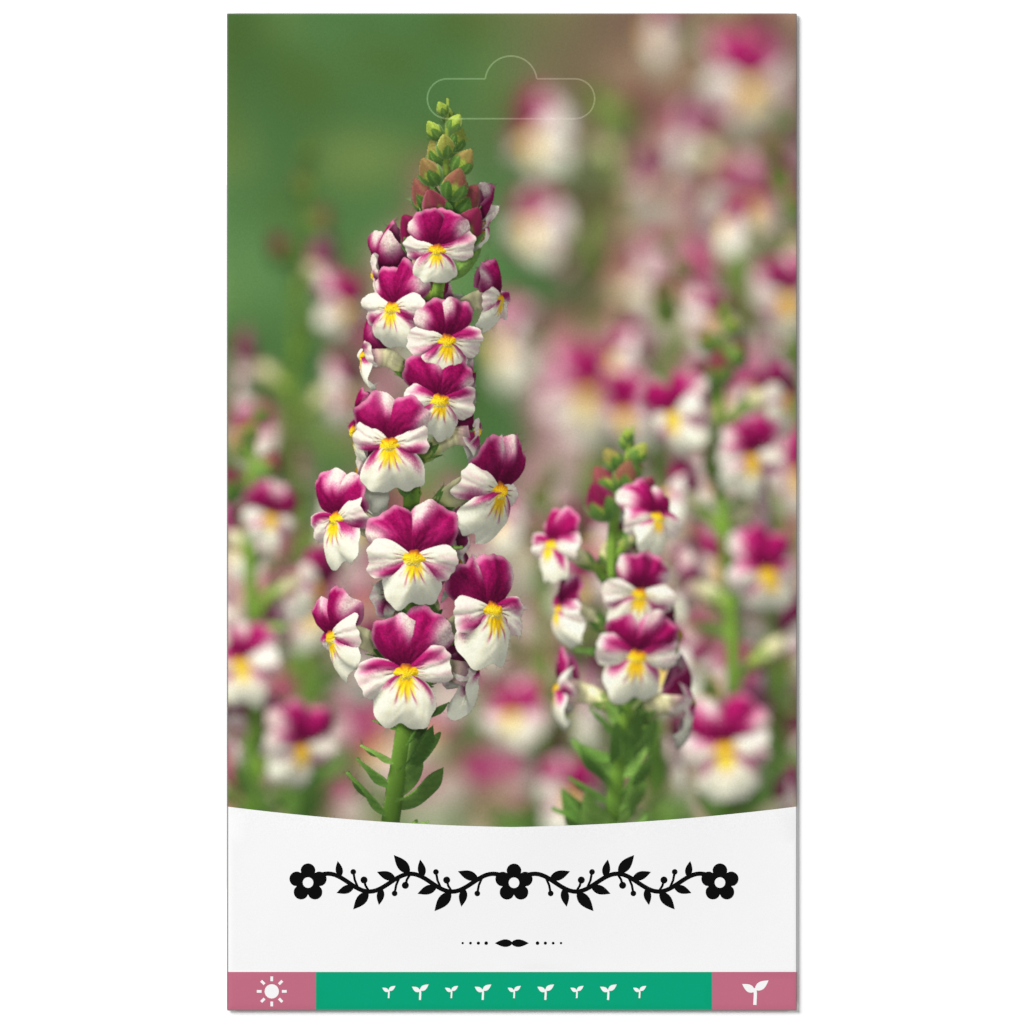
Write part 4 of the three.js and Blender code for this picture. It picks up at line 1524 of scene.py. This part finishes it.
def printedSide():
    # flat points, triangles and each triangle's colour or None for the picture
    net = Net()
    net.area(blankOutline(), "sheet")
    for outline, color in frontPrint() + backPrint():
        net.area(outline, color)
    for outline in slotOutlines():
        net.area(outline, "hole")
    for line in foldLines(sampling["folds"]):
        net.line(line)
    net.add(picturePoints())
    net.add(gridPoints(-leftLine, -endLine, rightLine, printed["panelTop"] - 1, sampling["panel"]))
    flat, triangles, _, owners = net.cut()
    keep = [i for i, own in enumerate(owners) if 0 in own and not any(net.kinds[k] == "hole" for k in own)]
    kinds = [net.kinds[max(owners[i])] for i in keep]
    triangles = triangles[keep]
    used, renumbered = np.unique(triangles, return_inverse=True)
    return flat[used], renumbered.reshape(-1, 3), ["panel" if kind == "sheet" else kind for kind in kinds]


def borderEdges(triangles):
    # edges that only one triangle has, in its own direction
    edges = np.concatenate([triangles[:, [0, 1]], triangles[:, [1, 2]], triangles[:, [2, 0]]])
    _, first, counts = np.unique(np.sort(edges, axis=1), axis=0, return_index=True, return_counts=True)
    return edges[first[counts == 1]]


def insideBorder(places, starts, ends):
    # a place is inside where a line to its right crosses the border an odd number of times
    inside = np.zeros(len(places), bool)
    for (x0, y0), (x1, y1) in zip(starts, ends):
        if y0 != y1:
            crosses = (places[:, 1] < y0) != (places[:, 1] < y1)
            inside ^= crosses & (places[:, 0] < x0 + (places[:, 1] - y0) * (x1 - x0) / (y1 - y0))
    return inside


def bareSide(flat, border):
    # a coarser net for the paper's other side, with the same border points
    net = Net()
    ids, edges = np.unique(border, return_inverse=True)
    net.add(flat[ids])
    net.edges += edges.reshape(-1, 2).tolist()
    for line in foldLines(sampling["bareFolds"]):
        net.line(line)
    (halfX, halfY), middle = blank["crownHalf"], blank["crownCentre"]
    net.add(gridPoints(-halfX, middle - halfY, halfX, middle + halfY, sampling["bare"]))
    places, triangles, sources, _ = net.cut()
    middles = places[triangles].mean(1)
    triangles = triangles[insideBorder(middles, flat[border[:, 0]], flat[border[:, 1]])]
    twin = {int(ids[old]): new for new, olds in enumerate(sources) for old in olds if old < len(ids)}
    return places, triangles, twin


textureMap = {
    # left, bottom, right and top of each part of the sheet; the picture has most of the map
    "name": "OFBake",
    "front": (0.004, 0.004, 0.636, 0.996),
    "back": (0.644, 0.450, 0.996, 0.996),
    "top": (0.644, 0.400, 0.996, 0.444),
    "bottom": (0.644, 0.360, 0.996, 0.392),
    "side": (0.644, 0.150, 0.672, 0.352),
    "inside": (0.680, 0.150, 0.996, 0.352),
    "edges": (0.644, 0.004, 0.996, 0.142),
    "edgeColumns": 90,
}


def stretched(places, part):
    # places fitted to a part of the map
    low, high = places.min((0, 1)), places.max((0, 1))
    box = np.array(textureMap[part])
    return box[:2] + (places - low) / (high - low) * (box[2:] - box[:2])


def mapSheet(mesh, outside, inside, edgeCount):
    # each corner of each face on the map: outside, inside and then the cut edges, two faces each
    x, y = outside.mean(1).T
    parts = {
        "back": x > rightLine + backTurn / 2,
        "side": x < -leftLine - flapTurn / 2,
        "top": y > endLine + flapTurn / 2,
        "bottom": y < -endLine - flapTurn / 2,
    }
    parts["front"] = ~np.any(list(parts.values()), axis=0)
    mapped = np.zeros_like(outside)
    for part, chosen in parts.items():
        mapped[chosen] = stretched(outside[chosen], part)
    turnedOver = stretched(inside * (-1, 1), "inside")
    index = np.arange(edgeCount)
    cell = np.column_stack([index % textureMap["edgeColumns"], index // textureMap["edgeColumns"]])
    edges = cell[:, None] + np.array([(0, 0), (1, 0), (1, 1), (0, 0), (1, 1), (0, 1)])
    edges = stretched(edges.reshape(-1, 3, 2), "edges")
    layer = mesh.uv_layers.new(name=textureMap["name"])
    layer.uv.foreach_set("vector", np.concatenate([mapped, turnedOver, edges]).astype(np.float32).ravel())


def meshOf(name, places, triangles, slots):
    mesh = bpy.data.meshes.new(name)
    mesh.vertices.add(len(places))
    mesh.vertices.foreach_set("co", places.astype(np.float32).ravel())
    mesh.loops.add(len(triangles) * 3)
    mesh.loops.foreach_set("vertex_index", triangles.astype(np.int32).ravel())
    mesh.polygons.add(len(triangles))
    mesh.polygons.foreach_set("loop_start", np.arange(0, len(triangles) * 3, 3, dtype=np.int32))
    mesh.polygons.foreach_set("material_index", slots.astype(np.int32))
    mesh.update(calc_edges=True)
    mesh.validate()
    return mesh


def cornerInks(flat, triangles, kinds):
    # a colour for each corner of each face, so that the print's edges stay sharp
    table = {name: linear(printed[name]) for name in ("panel", "black", "pink", "green", "rule")}
    corner = np.repeat([table.get(kind, (0, 0, 0)) for kind in kinds], 3, axis=0)
    flatCorner = flat[triangles.ravel()]
    for kind, share in ((None, 0.0), ("pale", printed["paleShare"])):
        chosen = np.repeat([one == kind for one in kinds], 3)
        color = pictureAt(flatCorner[chosen])
        color = color + share * (1 - color.mean(1, keepdims=True))
        corner[chosen] = linear(np.clip(color, 0, 1))
    corner = corner * printed["gain"]
    # painted shade: the print over each fold is mixed towards its grey tone, so that each fold shows as a
    # shaded line
    for (axis, side, line, radius), (share, tone) in zip(folds, creases):
        turn = np.clip((side * flatCorner[:, axis] - line) / radius, 0, math.pi)
        corner = mixed(corner, tone, share * ease(0, 0.5, np.sin(turn)))
    return corner


def foldBlank():
    flat, triangles, kinds = printedSide()
    border = borderEdges(triangles)
    innerFlat, innerTriangles, twin = bareSide(flat, border)
    outer, _ = folded(flat)
    inner, outward = folded(innerFlat)
    inner = inner - outward * blank["paper"]
    innerTriangles = innerTriangles[:, ::-1]
    rim = []
    for a, b in border.tolist():
        c, d = twin[a] + len(outer), twin[b] + len(outer)
        rim += [(b, a, c), (b, c, d)]
    faces = np.concatenate([triangles, innerTriangles + len(outer), np.array(rim)])
    slots = np.repeat([0, 1, 2], [len(triangles), len(innerTriangles), len(rim)])
    mesh = meshOf("packet_blank", np.concatenate([outer, inner]) * mm, faces, slots)
    mapSheet(mesh, flat[triangles], innerFlat[innerTriangles], len(border))

    colors = np.ones((len(faces) * 3, 4), np.float32)
    colors[:, :3] = printFinish["bare"]
    colors[:len(triangles) * 3, :3] = cornerInks(flat, triangles, kinds)
    layer = mesh.color_attributes.new(printFinish["ink"], "FLOAT_COLOR", "CORNER")
    layer.data.foreach_set("color", colors.ravel())
    grain = np.zeros(len(mesh.vertices), np.float32)
    grain[triangles[[kind is None for kind in kinds]].ravel()] = 1
    attribute = mesh.attributes.new(printFinish["grain"], "FLOAT", "POINT")
    attribute.data.foreach_set("value", grain)

    sheet = bpy.data.objects.new("packet_blank", mesh)
    bpy.context.collection.objects.link(sheet)
    deselectAll()
    sheet.select_set(True)
    bpy.context.view_layer.objects.active = sheet
    bpy.ops.object.shade_smooth_by_angle(angle=sampling["smooth"] * degree)
    finishes = (printedPaper(printFinish), mottled("bare paper", barePaper), mottled("cut edge", cutEdge))
    finishPiece(sheet, "envelope_blank", "printed_paper", *finishes)
    print("blank folded, printed, bare and edge triangles:", len(triangles), len(innerTriangles), len(rim))


foldBlank()


def roundedPlate(node, corner, steps=8, smooth=40 * degree):
    # a thin plate of the node's size with rounded corners
    lowest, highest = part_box(node)
    deselectAll()
    bpy.ops.mesh.primitive_cube_add(size=1, location=(lowest + highest) / 2, scale=highest - lowest)
    plate = bpy.context.object
    bpy.ops.object.transform_apply(location=True, rotation=True, scale=True)
    bpy.ops.object.mode_set(mode="EDIT")
    bpy.ops.mesh.select_mode(type="EDGE")
    bpy.ops.mesh.select_all(action="DESELECT")
    bpy.ops.object.mode_set(mode="OBJECT")
    vertices = plate.data.vertices
    for edge in plate.data.edges:
        a, b = (vertices[i].co for i in edge.vertices)
        edge.select = abs(a.x - b.x) + abs(a.y - b.y) < 1e-6
    bpy.ops.object.mode_set(mode="EDIT")
    bpy.ops.mesh.bevel(offset=corner * mm, segments=steps, affect="EDGES")
    bpy.ops.object.mode_set(mode="OBJECT")
    bpy.ops.object.shade_smooth_by_angle(angle=smooth)
    return plate


glueStrips = {
    "glue_top": "top_flap_glue",
    "glue_bottom": "bottom_flap_glue",
    "glue_side": "side_flap_glue",
    "corner": 1.4,   # mm
}


def layGlue():
    material = mottled("dried glue", driedGlue)
    for name in ("glue_top", "glue_bottom", "glue_side"):
        strip = roundedPlate(glueStrips[name], glueStrips["corner"])
        strip.name = name
        finishPiece(strip, glueStrips[name], "adhesive", material)


layGlue()
print("glue laid")


sachet = {
    "sheet": 0.0625,         # mm
    "corner": 0.8,
    "seal": 5.0,
    "bulge": 1.05,
    "sealGap": 0.2,          # between the bulge's foot and the seal
    "crimp": 0.025,          # ridges pressed into the seal
    "crimpPitch": 1.2,
    "crinkle": 0.05,
    "tight": 0.35,           # share of the crinkles that is left where the sachet is fullest
    "ridges": (
        # sharp little ridges that run several ways: angle, pitch and shift
        (0.3, 9, 0.0),
        (1.2, 7, 1.1),
        (2.1, 11, 2.3),
        (2.8, 5.5, 0.7),
    ),
    "cells": (96, 132),
    "smooth": 50,            # degrees
}


def crinkles(x, y):
    total = 0
    for angle, pitch, shift in sachet["ridges"]:
        along = x * math.cos(angle) + y * math.sin(angle)
        along = along + 1.1 * np.sin(x * 0.35 + shift) + 0.9 * np.sin(y * 0.27 + shift)
        total = total + (1 - np.abs(np.sin(along * math.pi / pitch + shift))) ** 3
    return total / len(sachet["ridges"])


def makeSachet():
    material = mottled("glassine", glassine)
    back = roundedPlate("sachet_back", sachet["corner"])
    back.name = "sachet_rear"
    finishPiece(back, "sachet_back", "glassine", material)

    lowest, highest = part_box("sachet_front")
    size, middle = (highest - lowest) / mm, (highest + lowest) / 2
    deselectAll()
    across, along = sachet["cells"]
    bpy.ops.mesh.primitive_grid_add(x_subdivisions=across, y_subdivisions=along, size=1)
    sheet = bpy.context.object
    sheet.name = "sachet_face"
    places = np.zeros(len(sheet.data.vertices) * 3, np.float32)
    sheet.data.vertices.foreach_get("co", places)
    places = places.reshape(-1, 3)
    x, y = places[:, 0] * size.x, places[:, 1] * size.y
    half = (size.x / 2 - sachet["seal"], size.y / 2 - sachet["seal"])
    swell = (np.clip(1 - (x / half[0]) ** 2, 0, None) * np.clip(1 - (y / half[1]) ** 2, 0, None)) ** 1.5
    inSeal = np.maximum(np.abs(x) - half[0], np.abs(y) - half[1]) > sachet["sealGap"]
    pressed = sachet["crimp"] * (0.5 - 0.5 * np.cos((x + y) * 2 * math.pi / sachet["crimpPitch"])) * inSeal
    loose = ease(0, 0.05, swell) * (sachet["tight"] + (1 - sachet["tight"]) * (1 - swell))
    height = sachet["bulge"] * swell + pressed + sachet["crinkle"] * crinkles(x, y) * loose
    places[:, 0], places[:, 1] = x * mm + middle.x, y * mm + middle.y
    places[:, 2] = lowest.z + height * mm
    sheet.data.vertices.foreach_set("co", places.ravel())
    sheet.data.update()
    solid = sheet.modifiers.new("paper", "SOLIDIFY")
    solid.thickness = sachet["sheet"] * mm
    solid.offset = 1
    bpy.ops.object.modifier_apply(modifier="paper")
    bpy.ops.object.shade_smooth_by_angle(angle=sachet["smooth"] * degree)
    finishPiece(sheet, "sachet_front", "glassine", material)


makeSachet()
print("sachet made")


seedLook = {
    "radii": (0.46, 0.36, 0.31),   # mm
    "ribs": (0.07, 3, 4),          # height as a share of the radius, number, and their twist
    "dents": (0.03, 9),            # height and number
    "spacing": 0.88,
    "jitter": 0.03,
    "lean": 0.1,                   # radians
    "lift": 1.06,                  # how high the middles lie, in radii
    "bed": (4.6, 6.4),             # half width and half height
    "fill": 0.97,                  # share of the bed's oval that is filled
    "core": 0.3,                   # packed chaff between the seeds
    "coreShare": 0.96,             # of the bed's width and height
    "seed": 7,
}


def strewSeeds():
    draw = np.random.default_rng(seedLook["seed"])
    lowest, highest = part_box("seeds")
    middle = (lowest + highest) / 2
    deselectAll()
    bpy.ops.mesh.primitive_ico_sphere_add(subdivisions=2, radius=1)
    first = bpy.context.object
    ribHeight, ribCount, twist = seedLook["ribs"]
    dentHeight, dentCount = seedLook["dents"]
    for vertex in first.data.vertices:
        turn = math.atan2(vertex.co.y, vertex.co.x)
        ribs = ribHeight * math.sin(ribCount * turn + twist * vertex.co.z) * (1 - vertex.co.z**2)
        vertex.co *= 1 + ribs + dentHeight * math.sin(dentCount * vertex.co.x)
    first.scale = [r * mm for r in seedLook["radii"]]
    bpy.ops.object.transform_apply(location=False, rotation=False, scale=True)
    bpy.ops.object.shade_smooth()
    bedWidth, bedHeight = seedLook["bed"]
    step = seedLook["spacing"] * math.sqrt(0.75)
    seeds = []
    for row, y in enumerate(np.arange(-bedHeight, bedHeight, step)):
        shift = (row % 2) * seedLook["spacing"] / 2
        for x in np.arange(-bedWidth, bedWidth, seedLook["spacing"]) + shift:
            px = x + draw.normal(0, seedLook["jitter"])
            py = y + draw.normal(0, seedLook["jitter"])
            if (px / bedWidth) ** 2 + (py / bedHeight) ** 2 > seedLook["fill"]:
                continue
            seed = first.copy()
            seed.data = first.data.copy()
            height = lowest.z + seedLook["radii"][2] * seedLook["lift"] * mm
            seed.location = (middle.x + px * mm, middle.y + py * mm, height)
            leans = draw.uniform(-seedLook["lean"], seedLook["lean"], 2)
            seed.rotation_euler = (*leans, draw.uniform(0, math.pi))
            bpy.context.collection.objects.link(seed)
            seeds.append(seed)
    bpy.data.objects.remove(first)
    share = seedLook["coreShare"]
    bpy.ops.mesh.primitive_cylinder_add(
        vertices=48,
        radius=1,
        depth=1,
        location=(middle.x, middle.y, lowest.z + seedLook["core"] / 2 * mm),
        scale=(bedWidth * share * mm, bedHeight * share * mm, seedLook["core"] * mm),
    )
    core = bpy.context.object
    deselectAll()
    for seed in seeds:
        seed.select_set(True)
    core.select_set(True)
    bpy.context.view_layer.objects.active = core
    bpy.ops.object.transform_apply(location=True, rotation=True, scale=True)
    bpy.ops.object.join()
    core.name = "seed_bed"
    finishPiece(core, "seeds", "seed", mottled("seed coat", seedCoat))
    print("seeds strewn", len(seeds))


strewSeeds()
